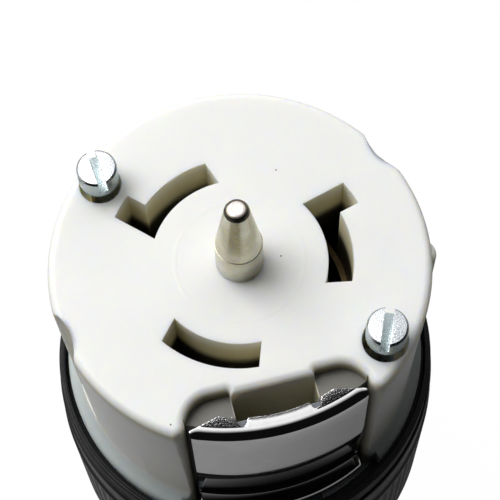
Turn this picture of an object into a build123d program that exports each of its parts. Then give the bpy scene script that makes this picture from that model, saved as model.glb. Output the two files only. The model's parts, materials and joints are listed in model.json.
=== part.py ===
from build123d import *
import os
from math import asin, atan2, cos, degrees, hypot, radians, sin, sqrt, tan

# Connector end of a fifty ampere welder plug adapter, standing face up on its cord clamp.
# Z is up, the axis of the connector is the Z axis, and the clip side of the face looks along -Y.
# Depths are measured down from the contact face, in millimetres like everything else.

# Lengths along the axis, from the face down
WALL_LENGTH = 31.0
FLARE_LENGTH = 5.5
FLANGE_THICKNESS = 3.0
SPIGOT_LENGTH = 10.5
CARRIER_LENGTH = 20.0
RING_BASE_THICKNESS = 2.5
GRIP_END_DEPTH = 78.0
SHOULDER_LENGTH = 12.0
NECK_LENGTH = 6.0
CLAMP_LENGTH = 12.0

FLANGE_TOP = WALL_LENGTH + FLARE_LENGTH
FLANGE_BASE = FLANGE_TOP + FLANGE_THICKNESS
SPIGOT_BASE = FLANGE_BASE + SPIGOT_LENGTH
CARRIER_BASE = SPIGOT_BASE + CARRIER_LENGTH
RIM_DEPTH = FLANGE_BASE + RING_BASE_THICKNESS
SHOULDER_BASE = GRIP_END_DEPTH + SHOULDER_LENGTH
NECK_BASE = SHOULDER_BASE + NECK_LENGTH
REAR_DEPTH = NECK_BASE + CLAMP_LENGTH

# White face body
FACE_RADIUS = 28.5
FACE_EDGE_ROUND = 1.0
WALL_DRAFT = 0.7
FLARE_STEPS = 3
FLANGE_RADIUS = FACE_RADIUS + 1.1
SPIGOT_RADIUS = FACE_RADIUS
FIT_CLEARANCE = 0.1
OVERCUT = 10.0
CORNER_INSET = 1 - sqrt(0.5)

# Contact slots, each an arc about the axis with slanted ends
SLOT_AZIMUTHS = {"1": 0.0, "2": 120.0, "3": 240.0}
LEGGED_SLOTS = ("1", "2")
SLOT_INNER_RADIUS = 13.1
SLOT_OUTER_RADIUS = 16.85
SLOT_HALF_ANGLE = 30.2
SLOT_END_ANGLE = 10.6
LEG_ANGLE = 15.5
LEG_WIDTH = 4.0
LEG_REACH = 20.0
SLOT_CORNER = 0.35
EMBOSS_RADIUS = 9.8
EMBOSS_WIDTH = 0.4
EMBOSS_DEPTH = 0.15

# Guide pin
PIN_RADIUS = 3.5
PIN_STRAIGHT = 6.5
PIN_LENGTH = 17.9
PIN_TIP_RADIUS = 1.7
PIN_TIP_ROUND = 0.6
PIN_STEP = 0.08
PIN_SHANK_RADIUS = 2.5
PIN_NUT_THICKNESS = 4.0
PIN_NUT_FLATS = 8.0
PIN_TAIL = 1.5

# Long assembly screws and the threaded inserts that they run into
SCREW_AZIMUTHS = {"1": 135.0, "2": -45.0}
SCREW_CIRCLE = FACE_RADIUS - 3.95
SCREW_HEAD_RADIUS = 3.0
SCREW_HEAD_HEIGHT = 3.8
SCREW_HEAD_STAND = 1.4
SCREW_BEVEL = 0.35
SCREW_SHANK_RADIUS = 1.75
SCREW_SLOT_WIDTH = 1.35
SCREW_SLOT_DEPTH = 1.9
SCREW_SLOT_AZIMUTHS = {"1": 96.0, "2": 67.0}
HEAD_WELL_RADIUS = 3.4
HEAD_WELL_DEPTH = 10.0
SHANK_CLEARANCE = 0.2
INSERT_RADIUS = 3.0
INSERT_LENGTH = 12.0
INSERT_TOP_GAP = 0.7
BOSS_RADIUS = 4.5
BOSS_TOP_GAP = 0.3
BOSS_CLEARANCE = 0.3
INSERT_TOP = SPIGOT_BASE + BOSS_TOP_GAP + INSERT_TOP_GAP
SCREW_END_DEPTH = INSERT_TOP + INSERT_LENGTH + 1.0
SCREW_BORE_DEPTH = SCREW_END_DEPTH + 3.0

# Ground clip, a bright pressing whose face is an arc about its own upright axis
CLIP_ARC_RADIUS = 34.3
CLIP_FACE_REACH = FACE_RADIUS - 2.1
CLIP_HALF_WIDTH = 13.1
CLIP_SHEET = 1.0
CLIP_TOP_DEPTH = 2.0
CLIP_BEND_ROUND = 0.9
CLIP_FOLD_DEPTH = 21.0
CLIP_FOOT_DEPTH = 34.0
CLIP_FOOT_LEAN = 1.05
CLIP_FOOT_REACH = FACE_RADIUS + 0.1
CLIP_FOOT_HALF_ANGLE = 28.0
CLIP_FLANGE_REACH = CLIP_FACE_REACH - 3.0
CLIP_TAB_REACH = CLIP_FLANGE_REACH - 0.5
CLIP_TAB_CORNER_X = 9.3
CLIP_TAB_END_X = 12.3
CLIP_RELIEF_X = 5.5
CLIP_RELIEF_RADIUS = 0.75
CLIP_TAIL_WIDTH = 8.0

# Recess that holds the clip
RECESS_HALF_WIDTH = CLIP_HALF_WIDTH + 0.6
RECESS_BACK_REACH = CLIP_FLANGE_REACH - 4.5
RECESS_CORNER = 4.4
RECESS_RIM_ROUND = 1.6
WELL_HALF_WIDTH = 6.2
WELL_BACK_REACH = RECESS_BACK_REACH + 0.85
WELL_DEPTH = 33.0

# Index notches and rib on the rim
NOTCH_AZIMUTHS = (26.0, 190.5)
NOTCH_REACH = FACE_RADIUS - 2.1
NOTCH_RADIUS = 5.2
NOTCH_RIM_ROUND = 1.4
RIB_AZIMUTH = -10.5
RIB_REACH = FACE_RADIUS + 0.75
RIB_RADIUS = 2.2
RIB_TOP_DEPTH = 1.3

# Seal ring, an angle section with a lip round the foot flange
RING_LIP_RADIUS = FLANGE_RADIUS + 0.65
RING_RADIUS = RING_LIP_RADIUS + 1.05
RING_LIP_RISE = 2.5
RING_LIP_BEVEL = 0.3

# Black housing
HOUSING_RADIUS = RING_RADIUS + 0.9
HOUSING_BORE = SPIGOT_RADIUS + 0.2
RIM_ROUND = 0.7
FLUTE_COUNT = 96
FLUTE_WIDTH = 1.0
FLUTE_FLOOR = 0.5
FLUTE_DEPTH = 0.55
FLUTE_TOP_DEPTH = 50.5
FLUTE_END_GAP = 4.5
SHOULDER_ROUND = 9.0
SHOULDER_STEPS = 3
NECK_RADIUS = 20.0
CAVITY_LEDGE = 3.7
CAVITY_WALL = 4.5
NECK_BORE = 14.5
NECK_GROOVE_DEPTH = 0.8
NECK_GROOVE_WIDTH = 2.0
NECK_GROOVE_TOP = NECK_BASE - 5.0

# Box lugs under the contacts, each with a radial screw and a pressure plate
LUG_AZIMUTHS = {"1": 0.0, "2": 105.0, "3": 216.0}
GROUND_AZIMUTH = -90.0
CONTACT_SHEET = 0.9
CONTACT_TOP_DEPTH = 16.0
CONTACT_END_ANGLE = 6.0
CONTACT_WEB = 2.0
CONTACT_GROUND_GAP = 1.0
LUG_INNER_REACH = 11.0
LUG_LENGTH = 14.0
LUG_DEPTH = 8.5
LUG_WIDTH = 8.0
LUG_WALL = 1.5
PLATE_THICKNESS = 1.0
PLATE_LENGTH = 8.0
PLATE_GAP = 0.5
LUG_SCREW_DROP = 7.5
LUG_SCREW_RADIUS = 1.9
LUG_SCREW_LENGTH = 3.6
LUG_HEAD_RADIUS = 3.0
LUG_HEAD_HEIGHT = 2.4
ACCESS_CLEARANCE = 0.4

# Cord entry
CORD_RADIUS = 9.0
GROMMET_RADIUS = 11.5
GROMMET_FLANGE_RADIUS = 14.0
GROMMET_FLANGE = 2.0
GROMMET_SETBACK = 2.0
CLAMP_RADIUS = 17.5
CLAMP_SPIGOT_LENGTH = 10.0
CLAMP_GAP = 1.0
CLAMP_EAR_REACH = 23.0
CLAMP_EAR_THICKNESS = 6.0
CLAMP_EAR_MARGIN = 1.0
CLAMP_EDGE_ROUND = 1.2
CLAMP_RIM_BEVEL = 0.6
CLAMP_SCREW_X = 20.0
CLAMP_SCREW_RADIUS = 2.0
CLAMP_HEAD_RADIUS = 3.4
CLAMP_HEAD_HEIGHT = 2.6
CLAMP_NUT_THICKNESS = 3.0
CLAMP_NUT_FLATS = 6.0
CLAMP_SCREW_TAIL = 1.5


def height(depth):
    """Z of a depth below the contact face; the rear end stands on Z = 0."""
    return REAR_DEPTH - depth


def prism(sketch, top, base):
    """Extrude a plan outline between two depths."""
    return extrude(Pos(0, 0, height(base)) * sketch, base - top)


def tube(outer, inner, top, base):
    """Ring of two radii between two depths."""
    return prism(Circle(outer) - Circle(inner), top, base)


def turned(*points):
    """Revolve a closed outline of (radius, depth) points about the axis."""
    outline = Polyline([(r, 0, height(d)) for r, d in points], close=True)
    return revolve(make_face(outline), Axis.Z)


def corner_steps(radius, depth, size):
    """Outline points down a rounded outer corner, as two chamfers."""
    inset = size * CORNER_INSET
    return [(radius - size, depth), (radius - inset, depth + inset), (radius, depth + size)]


def around(azimuth, solid):
    """Turn a piece made on the +X side to its azimuth."""
    return Rot(0, 0, azimuth) * solid


def at_azimuth(radius, azimuth):
    """Plan location of a point on a circle about the axis."""
    return Pos(radius * cos(radians(azimuth)), radius * sin(radians(azimuth)), 0)


def rim_cutter(opening, azimuth, half_angle, corner_round, top, base):
    """Cutter for an opening in the rim, with its two upright rim corners rounded over."""
    land = prism(Circle(FACE_RADIUS) - opening, top, base)
    corners = []
    for edge in land.edges().filter_by(Axis.Z):
        middle = edge.center()
        on_rim = abs(hypot(middle.X, middle.Y) - FACE_RADIUS) < FIT_CLEARANCE
        if on_rim and opening.distance_to(Vertex(middle.X, middle.Y, 0)) < FIT_CLEARANCE:
            corners.append(edge)
    land = fillet(corners, corner_round)
    return prism(wedge(azimuth, half_angle), top, base) - land


def wedge(azimuth, half_angle):
    """Plan wedge from the axis to well outside the part."""
    reach = FACE_RADIUS + OVERCUT
    rise = reach * tan(radians(half_angle))
    return Rot(0, 0, azimuth) * Polygon((0, 0), (reach, -rise), (reach, rise), align=None)


# Face body

def body_blank():
    """Turned form of the white body: rounded rim, drafted wall, flared foot, flange and spigot."""
    wall_foot = FACE_RADIUS - WALL_DRAFT
    shares = [step / FLARE_STEPS for step in range(FLARE_STEPS + 1)]
    flare = [
        (wall_foot + (FLANGE_RADIUS - wall_foot) * share**2, WALL_LENGTH + FLARE_LENGTH * share)
        for share in shares]
    return turned(
        (0, 0), *corner_steps(FACE_RADIUS, 0, FACE_EDGE_ROUND), *flare, (FLANGE_RADIUS, FLANGE_BASE),
        (SPIGOT_RADIUS, FLANGE_BASE), (SPIGOT_RADIUS, SPIGOT_BASE), (0, SPIGOT_BASE))


def slot_side(slant):
    """Start and direction of an end line of a slot, which runs out from the end of the inner arc."""
    start = Vector(
        SLOT_INNER_RADIUS * cos(radians(SLOT_HALF_ANGLE)), SLOT_INNER_RADIUS * sin(radians(SLOT_HALF_ANGLE)))
    along = Vector(cos(radians(slant)), sin(radians(slant)))
    return start, along


def slot_outline(legged):
    """Plan of a slot about +X, with an outward leg at its far end where the slot has one."""
    start, along = slot_side(SLOT_END_ANGLE)
    leg_start, leg_along = slot_side(LEG_ANGLE)
    upper_along = leg_along if legged else along
    near, far = start - upper_along * OVERCUT, start + upper_along * OVERCUT
    low_near, low_far = start - along * OVERCUT, start + along * OVERCUT
    sector = Polygon(
        (near.X, near.Y), (low_near.X, -low_near.Y), (low_far.X, -low_far.Y), (far.X, far.Y), align=None)
    outline = (Circle(SLOT_OUTER_RADIUS) - Circle(SLOT_INNER_RADIUS)) & sector
    if legged:
        across = Vector(leg_along.Y, -leg_along.X) * LEG_WIDTH
        end = leg_start + leg_along * OVERCUT
        leg = Polygon(
            (leg_start.X, leg_start.Y),
            (leg_start.X + across.X, leg_start.Y + across.Y),
            (end.X + across.X, end.Y + across.Y),
            (end.X, end.Y),
            align=None)
        outline = outline + (leg & (Circle(LEG_REACH) - Circle(SLOT_INNER_RADIUS)))
    return fillet(outline.vertices(), SLOT_CORNER)


def recess_plan():
    """Plan of the clip recess with its rounded back corners, open to the rim at -Y."""
    length = FACE_RADIUS + OVERCUT - RECESS_BACK_REACH
    centre = RECESS_BACK_REACH + length / 2
    box = Pos(0, -centre) * Rectangle(2 * RECESS_HALF_WIDTH, length)
    back = box.vertices().sort_by(Axis.Y)[-2:]
    lobes = fillet(back, RECESS_CORNER)
    bulge_width = 2 * WELL_HALF_WIDTH
    bulge_length = WELL_BACK_REACH - RECESS_BACK_REACH
    bulge = Pos(0, -(RECESS_BACK_REACH + bulge_length / 2)) * Rectangle(bulge_width, bulge_length)
    return lobes - bulge


def clip_axis_y():
    """Y of the upright axis that the clip's face is an arc about."""
    return CLIP_ARC_RADIUS - CLIP_FACE_REACH


def beyond_clip(radius):
    """Plan area on the clip's side that lies outside an arc about the clip's own axis."""
    length = FACE_RADIUS + OVERCUT
    side = Pos(0, -length / 2) * Rectangle(2 * length, length)
    return side - Pos(0, clip_axis_y()) * Circle(radius)


def clip_recess():
    """Everything cut from the body for the clip, its spring room and its tail."""
    sheet_back = CLIP_ARC_RADIUS - CLIP_SHEET
    shelf_depth = CLIP_TOP_DEPTH + CLIP_SHEET
    half_angle = degrees(asin((RECESS_HALF_WIDTH + RECESS_RIM_ROUND) / FACE_RADIUS))
    mouth = rim_cutter(recess_plan(), GROUND_AZIMUTH, half_angle, RECESS_RIM_ROUND, -OVERCUT, FLANGE_BASE)
    side = Rectangle(2 * (FACE_RADIUS + OVERCUT), 2 * (FACE_RADIUS + OVERCUT))
    levels = (
        (side, -OVERCUT, shelf_depth),
        (beyond_clip(sheet_back), shelf_depth, CLIP_FOLD_DEPTH),
        (beyond_clip(sheet_back - CLIP_FOOT_LEAN), CLIP_FOLD_DEPTH, FLANGE_BASE))
    cutters = [mouth & prism(plan, top, base) for plan, top, base in levels]
    well_length = FACE_RADIUS - WELL_BACK_REACH
    well_plan = Pos(0, -(WELL_BACK_REACH + well_length / 2)) * Rectangle(2 * WELL_HALF_WIDTH, well_length)
    well = prism(well_plan, shelf_depth, WELL_DEPTH)
    tail_reach = CLIP_FACE_REACH - CLIP_FOOT_LEAN - CLIP_SHEET - FIT_CLEARANCE
    tail_length = SPIGOT_RADIUS + OVERCUT - tail_reach
    tail_plan = Pos(0, -(tail_reach + tail_length / 2)) * Rectangle(
        CLIP_TAIL_WIDTH + 2 * FIT_CLEARANCE, tail_length)
    tail_slot = prism(tail_plan, CLIP_FOOT_DEPTH, SPIGOT_BASE)
    return cutters + [well, tail_slot]


def make_face_body():
    """White moulded insulator with every slot, notch, hole and recess of the face."""
    body = body_blank()
    rib_plan = at_azimuth(RIB_REACH - RIB_RADIUS, RIB_AZIMUTH) * Circle(RIB_RADIUS)
    rib = prism(rib_plan, RIB_TOP_DEPTH, FLANGE_TOP)
    rib = chamfer(rib.edges().sort_by(Axis.Z)[-1], FACE_EDGE_ROUND)
    body += rib
    for name, azimuth in SLOT_AZIMUTHS.items():
        body -= prism(Rot(0, 0, azimuth) * slot_outline(name in LEGGED_SLOTS), -OVERCUT, SPIGOT_BASE)
    body -= prism(
        Circle(EMBOSS_RADIUS) - Circle(EMBOSS_RADIUS - EMBOSS_WIDTH), -OVERCUT, EMBOSS_DEPTH)
    body -= prism(Circle(PIN_SHANK_RADIUS + FIT_CLEARANCE), -OVERCUT, SPIGOT_BASE)
    for azimuth in SCREW_AZIMUTHS.values():
        place = at_azimuth(SCREW_CIRCLE, azimuth)
        body -= prism(place * Circle(HEAD_WELL_RADIUS), -OVERCUT, HEAD_WELL_DEPTH)
        body -= prism(place * Circle(SCREW_SHANK_RADIUS + SHANK_CLEARANCE), HEAD_WELL_DEPTH, SPIGOT_BASE)
    for azimuth in NOTCH_AZIMUTHS:
        opening = at_azimuth(NOTCH_REACH + NOTCH_RADIUS, azimuth) * Circle(NOTCH_RADIUS)
        half_angle = degrees(asin((NOTCH_RADIUS + NOTCH_RIM_ROUND) / FACE_RADIUS))
        body -= rim_cutter(opening, azimuth, half_angle, NOTCH_RIM_ROUND, -OVERCUT, WALL_LENGTH)
    for cutter in clip_recess():
        body -= cutter
    return body


# Metal parts of the face

def make_guide_pin():
    """Straight pin with a tapered nose that stands on the face, and a threaded shank below it."""
    end = CARRIER_BASE + PIN_NUT_THICKNESS + PIN_TAIL
    step_depth = -PIN_STRAIGHT - PIN_STEP
    return turned(
        (0, end), (PIN_SHANK_RADIUS, end), (PIN_SHANK_RADIUS, 0), (PIN_RADIUS, 0),
        (PIN_RADIUS, -PIN_STRAIGHT), (PIN_RADIUS - PIN_STEP, step_depth),
        *reversed(corner_steps(PIN_TIP_RADIUS, -PIN_LENGTH, PIN_TIP_ROUND)), (0, -PIN_LENGTH))


def hex_nut(flats, thickness, bore):
    """Plain hexagon nut standing on Z = 0."""
    plan = RegularPolygon(flats / 2, 6, major_radius=False) - Circle(bore)
    return extrude(plan, thickness)


def make_guide_pin_nut():
    """Nut that draws the pin and the carrier up against the face body."""
    return Pos(0, 0, height(CARRIER_BASE + PIN_NUT_THICKNESS)) * hex_nut(
        PIN_NUT_FLATS, PIN_NUT_THICKNESS, PIN_SHANK_RADIUS)


def slotted_screw(head_radius, head_height, shank_radius, length, slot_depth):
    """Fillister head screw, seat of the head at Z = 0 and the shank downwards."""
    outline = Polyline(
        (0, 0, head_height), (head_radius - SCREW_BEVEL, 0, head_height),
        (head_radius, 0, head_height - SCREW_BEVEL), (head_radius, 0, 0), (shank_radius, 0, 0),
        (shank_radius, 0, -length), (0, 0, -length), close=True)
    slot = Pos(0, 0, head_height) * Box(2 * head_radius + OVERCUT, SCREW_SLOT_WIDTH, 2 * slot_depth)
    return revolve(make_face(outline), Axis.Z) - slot


def make_assembly_screw(name):
    """Long screw whose head stands a little proud of the face."""
    azimuth = SCREW_AZIMUTHS[name]
    screw = slotted_screw(
        SCREW_HEAD_RADIUS, SCREW_HEAD_HEIGHT, SCREW_SHANK_RADIUS,
        SCREW_END_DEPTH + SCREW_HEAD_STAND, SCREW_SLOT_DEPTH)
    turn = Rot(0, 0, SCREW_SLOT_AZIMUTHS[name])
    return Pos(0, 0, height(-SCREW_HEAD_STAND)) * at_azimuth(SCREW_CIRCLE, azimuth) * turn * screw


def make_threaded_insert(name):
    """Brass insert that sits in a boss of the housing."""
    ring = Circle(INSERT_RADIUS) - Circle(SCREW_SHANK_RADIUS)
    plan = at_azimuth(SCREW_CIRCLE, SCREW_AZIMUTHS[name]) * ring
    return prism(plan, INSERT_TOP, INSERT_TOP + INSERT_LENGTH)


def clip_sheet_face():
    """Revolved face of the clip: upright above the fold, leaning in below it."""
    outer = CLIP_ARC_RADIUS
    inner = outer - CLIP_SHEET
    foot = outer - CLIP_FOOT_LEAN
    half_angle = degrees(asin(CLIP_HALF_WIDTH / CLIP_ARC_RADIUS))
    points = (
        (outer, CLIP_TOP_DEPTH), (outer, CLIP_FOLD_DEPTH), (foot, CLIP_FOOT_DEPTH),
        (foot - CLIP_SHEET, CLIP_FOOT_DEPTH), (inner, CLIP_FOLD_DEPTH), (inner, CLIP_TOP_DEPTH))
    profile = make_face(Polyline([(r, 0, height(d)) for r, d in points], close=True))
    sheet = revolve(profile, Axis.Z, revolution_arc=2 * half_angle)
    return Pos(0, clip_axis_y(), 0) * Rot(0, 0, GROUND_AZIMUTH - half_angle) * sheet


def clip_flange_plan():
    """Turned-in top flange with two outer tabs and a relief notch beside each."""
    outer = Pos(0, clip_axis_y()) * Circle(CLIP_ARC_RADIUS)
    width = 2 * CLIP_HALF_WIDTH
    strip = Pos(0, -FACE_RADIUS / 2) * Rectangle(width, FACE_RADIUS)
    plan = (outer & strip) - Circle(CLIP_FLANGE_REACH)
    for side in (-1, 1):
        tab_angle = GROUND_AZIMUTH + side * degrees(asin(CLIP_TAB_CORNER_X / CLIP_TAB_REACH))
        corner = at_azimuth(CLIP_TAB_REACH, tab_angle).position
        end_y = -sqrt(CLIP_ARC_RADIUS**2 - CLIP_TAB_END_X**2) + clip_axis_y()
        trim = Polygon(
            (corner.X, corner.Y), (side * CLIP_TAB_END_X, end_y + CLIP_SHEET),
            (side * (CLIP_HALF_WIDTH + OVERCUT), end_y + CLIP_SHEET), (side * (CLIP_HALF_WIDTH + OVERCUT), 0),
            (corner.X, 0), align=None)
        plan -= trim
        relief = Pos(side * CLIP_RELIEF_X, -sqrt(CLIP_FLANGE_REACH**2 - CLIP_RELIEF_X**2))
        plan -= relief * Circle(CLIP_RELIEF_RADIUS)
    return plan


def clip_tail():
    """Foot flange, tail strip and the tab that lies on the ground lug."""
    foot_base = CLIP_FOOT_DEPTH + CLIP_SHEET
    tail_outer = CLIP_FACE_REACH - CLIP_FOOT_LEAN
    tail_inner = tail_outer - CLIP_SHEET
    inner_line = Pos(0, clip_axis_y()) * Circle(CLIP_ARC_RADIUS - CLIP_FOOT_LEAN - CLIP_SHEET)
    window = wedge(GROUND_AZIMUTH, CLIP_FOOT_HALF_ANGLE)
    foot = prism((Circle(CLIP_FOOT_REACH) & window) - inner_line, CLIP_FOOT_DEPTH, foot_base)
    strip = prism(
        Pos(0, -(tail_outer + tail_inner) / 2) * Rectangle(CLIP_TAIL_WIDTH, CLIP_SHEET),
        foot_base, SPIGOT_BASE + CLIP_SHEET)
    tab_length = tail_outer - LUG_INNER_REACH
    tab = prism(
        Pos(0, -(tail_outer - tab_length / 2)) * Rectangle(CLIP_TAIL_WIDTH, tab_length),
        SPIGOT_BASE, SPIGOT_BASE + CLIP_SHEET)
    return foot + strip + tab


def make_ground_clip():
    """Bright spring clip in the rim recess, bent from one strip."""
    sheet = clip_sheet_face()
    top_arcs = sheet.edges().filter_by(GeomType.CIRCLE).group_by(Axis.Z)[-1].sort_by(SortBy.LENGTH)
    sheet = fillet(top_arcs[-1], CLIP_BEND_ROUND)
    inside_sheet = Pos(0, clip_axis_y()) * Circle(CLIP_ARC_RADIUS - CLIP_SHEET / 2)
    flange = prism(clip_flange_plan() & inside_sheet, CLIP_TOP_DEPTH, CLIP_TOP_DEPTH + CLIP_SHEET)
    return sheet + flange + clip_tail()


# Contacts and lugs

def lug_block(top):
    """Box lug on the +X side, open to the rear, with a threaded hole in its outer wall."""
    centre = LUG_INNER_REACH + LUG_DEPTH / 2
    base = top + LUG_LENGTH
    outer = prism(Pos(centre, 0) * Rectangle(LUG_DEPTH, LUG_WIDTH), top, base)
    hollow = prism(
        Pos(centre, 0) * Rectangle(LUG_DEPTH - 2 * LUG_WALL, LUG_WIDTH - 2 * LUG_WALL), top + LUG_WALL, base)
    hole = Pos(centre + LUG_DEPTH / 2, 0, height(SPIGOT_BASE + LUG_SCREW_DROP)) * Rot(0, 90, 0) * Cylinder(
        LUG_SCREW_RADIUS, LUG_DEPTH)
    return outer - hollow - hole


def make_line_contact(name):
    """Two curved leaves behind a slot, their web, and the box lug for one conductor."""
    azimuth = SLOT_AZIMUTHS[name]
    ends = wedge(azimuth, SLOT_HALF_ANGLE - CONTACT_END_ANGLE)
    plan = (Circle(SLOT_OUTER_RADIUS) - Circle(SLOT_INNER_RADIUS)) & ends
    gap = Circle(SLOT_OUTER_RADIUS - CONTACT_SHEET) - Circle(SLOT_INNER_RADIUS + CONTACT_SHEET)
    web_base = SPIGOT_BASE - CONTACT_GROUND_GAP
    leaves = prism(plan - gap, CONTACT_TOP_DEPTH, web_base - CONTACT_WEB)
    web = prism(plan, web_base - CONTACT_WEB, web_base)
    lug_plan = Pos(LUG_INNER_REACH + LUG_DEPTH / 2, 0) * Rectangle(LUG_DEPTH, LUG_WIDTH)
    neck = prism(plan & (Rot(0, 0, LUG_AZIMUTHS[name]) * lug_plan), web_base, SPIGOT_BASE)
    return leaves + web + neck + around(LUG_AZIMUTHS[name], lug_block(SPIGOT_BASE))


def plate_reach():
    """Radius of the outer face of a pressure plate, against the tip of its screw."""
    return LUG_INNER_REACH + LUG_DEPTH - LUG_WALL - PLATE_GAP


def make_pressure_plate(azimuth):
    """Small plate inside a box lug that the screw presses on the conductor."""
    width = LUG_WIDTH - 2 * LUG_WALL - 2 * FIT_CLEARANCE
    middle = SPIGOT_BASE + LUG_SCREW_DROP
    plan = Pos(plate_reach() - PLATE_THICKNESS / 2, 0) * Rectangle(PLATE_THICKNESS, width)
    return around(azimuth, prism(plan, middle - PLATE_LENGTH / 2, middle + PLATE_LENGTH / 2))


def make_terminal_screw(azimuth):
    """Radial screw through the wall of a box lug."""
    screw = slotted_screw(
        LUG_HEAD_RADIUS, LUG_HEAD_HEIGHT, LUG_SCREW_RADIUS, LUG_SCREW_LENGTH, LUG_HEAD_HEIGHT / 2)
    seat = plate_reach() + LUG_SCREW_LENGTH
    middle = height(SPIGOT_BASE + LUG_SCREW_DROP)
    return around(azimuth, Pos(seat, 0, middle) * Rot(0, 90, 0) * screw)


def make_ground_lug():
    """Box lug seated under the tail of the ground clip."""
    return around(GROUND_AZIMUTH, lug_block(SPIGOT_BASE + CLIP_SHEET))


def make_terminal_carrier():
    """Inner moulding behind the face, with a pocket and a screw well for every lug."""
    radius = HOUSING_BORE - SHANK_CLEARANCE
    carrier = tube(radius, PIN_SHANK_RADIUS + FIT_CLEARANCE, SPIGOT_BASE, CARRIER_BASE)
    centre = LUG_INNER_REACH + LUG_DEPTH / 2
    pocket_plan = Pos(centre, 0) * Rectangle(LUG_DEPTH + 2 * FIT_CLEARANCE, LUG_WIDTH + 2 * FIT_CLEARANCE)
    pocket = prism(pocket_plan, SPIGOT_BASE, CARRIER_BASE)
    well_length = radius + OVERCUT - centre
    well = Pos(centre, 0, height(SPIGOT_BASE + LUG_SCREW_DROP)) * Rot(0, 90, 0) * Cylinder(
        LUG_HEAD_RADIUS + ACCESS_CLEARANCE, well_length, align=(Align.CENTER, Align.CENTER, Align.MIN))
    for azimuth in (*LUG_AZIMUTHS.values(), GROUND_AZIMUTH):
        carrier -= around(azimuth, pocket)
        carrier -= around(azimuth, well)
    for azimuth in SCREW_AZIMUTHS.values():
        relief = at_azimuth(SCREW_CIRCLE, azimuth) * Circle(BOSS_RADIUS + BOSS_CLEARANCE)
        carrier -= prism(relief, SPIGOT_BASE - OVERCUT, CARRIER_BASE)
    tail_length = radius + OVERCUT - LUG_INNER_REACH
    groove_plan = Rectangle(tail_length, CLIP_TAIL_WIDTH + 2 * FIT_CLEARANCE)
    tail_groove = prism(
        Pos(LUG_INNER_REACH + tail_length / 2, 0) * groove_plan,
        SPIGOT_BASE - OVERCUT, SPIGOT_BASE + CLIP_SHEET)
    return carrier - around(GROUND_AZIMUTH, tail_groove)


# Ring and housing

def make_seal_ring():
    """Black ring between the foot flange and the housing, with a lip round the flange."""
    lip_top = FLANGE_BASE - RING_LIP_RISE
    bore = SPIGOT_RADIUS + FIT_CLEARANCE
    ring = turned(
        (bore, FLANGE_BASE), (RING_LIP_RADIUS, FLANGE_BASE), (RING_LIP_RADIUS, lip_top),
        (RING_RADIUS, lip_top), (RING_RADIUS, RIM_DEPTH), (bore, RIM_DEPTH))
    lip = ring.edges().filter_by(GeomType.CIRCLE).group_by(Axis.Z)[-1]
    return chamfer(lip, RING_LIP_BEVEL)


def flute_cutter():
    """One groove of the grip with slanted sides, on the +X side."""
    floor = HOUSING_RADIUS - FLUTE_DEPTH
    mouth = HOUSING_RADIUS + FLUTE_DEPTH
    flank = (FLUTE_WIDTH - FLUTE_FLOOR) / 2
    plan = Polygon(
        (floor, -FLUTE_FLOOR / 2), (mouth, -FLUTE_FLOOR / 2 - 2 * flank),
        (mouth, FLUTE_FLOOR / 2 + 2 * flank), (floor, FLUTE_FLOOR / 2), align=None)
    return prism(plan, FLUTE_TOP_DEPTH, GRIP_END_DEPTH - FLUTE_END_GAP)


def shoulder_steps():
    """Outline points down the rounded edge between the grip and the sloping shoulder."""
    slope = atan2(HOUSING_RADIUS - NECK_RADIUS, SHOULDER_LENGTH)
    top = GRIP_END_DEPTH - SHOULDER_ROUND * tan(slope / 2)
    turns = [slope * step / SHOULDER_STEPS for step in range(SHOULDER_STEPS + 1)]
    return [
        (HOUSING_RADIUS - SHOULDER_ROUND * (1 - cos(turn)), top + SHOULDER_ROUND * sin(turn))
        for turn in turns]


def housing_shell():
    """Turned form of the housing with its rounded shoulder, neck and inner cavity."""
    ledge_radius = HOUSING_BORE - CAVITY_LEDGE
    cone_base = NECK_BASE - CLAMP_SPIGOT_LENGTH
    cone_top = cone_base - SHOULDER_LENGTH + CAVITY_WALL
    outer = turned(
        (0, RIM_DEPTH), *corner_steps(HOUSING_RADIUS, RIM_DEPTH, RIM_ROUND), *shoulder_steps(),
        (NECK_RADIUS, SHOULDER_BASE), (NECK_RADIUS, NECK_BASE), (0, NECK_BASE))
    cavity = turned(
        (0, RIM_DEPTH - OVERCUT), (HOUSING_BORE, RIM_DEPTH - OVERCUT), (HOUSING_BORE, CARRIER_BASE),
        (ledge_radius, CARRIER_BASE), (ledge_radius, cone_top), (NECK_BORE, cone_base),
        (NECK_BORE, NECK_BASE + OVERCUT), (0, NECK_BASE + OVERCUT))
    groove = prism(
        Circle(NECK_BORE + NECK_GROOVE_DEPTH), NECK_GROOVE_TOP, NECK_GROOVE_TOP + NECK_GROOVE_WIDTH)
    return outer - cavity - groove


def make_housing():
    """Black grip housing with flutes and the two bosses for the threaded inserts."""
    housing = housing_shell()
    for azimuth in SCREW_AZIMUTHS.values():
        place = at_azimuth(SCREW_CIRCLE, azimuth)
        housing += prism(place * Circle(BOSS_RADIUS), SPIGOT_BASE + BOSS_TOP_GAP, CARRIER_BASE + CAVITY_WALL)
        housing -= prism(place * Circle(INSERT_RADIUS), SPIGOT_BASE, INSERT_TOP + INSERT_LENGTH)
        housing -= prism(place * Circle(SCREW_SHANK_RADIUS + SHANK_CLEARANCE), INSERT_TOP, SCREW_BORE_DEPTH)
    step = 360 / FLUTE_COUNT
    cutter = flute_cutter()
    return housing - [around(index * step, cutter) for index in range(FLUTE_COUNT)]


# Cord entry

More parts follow.
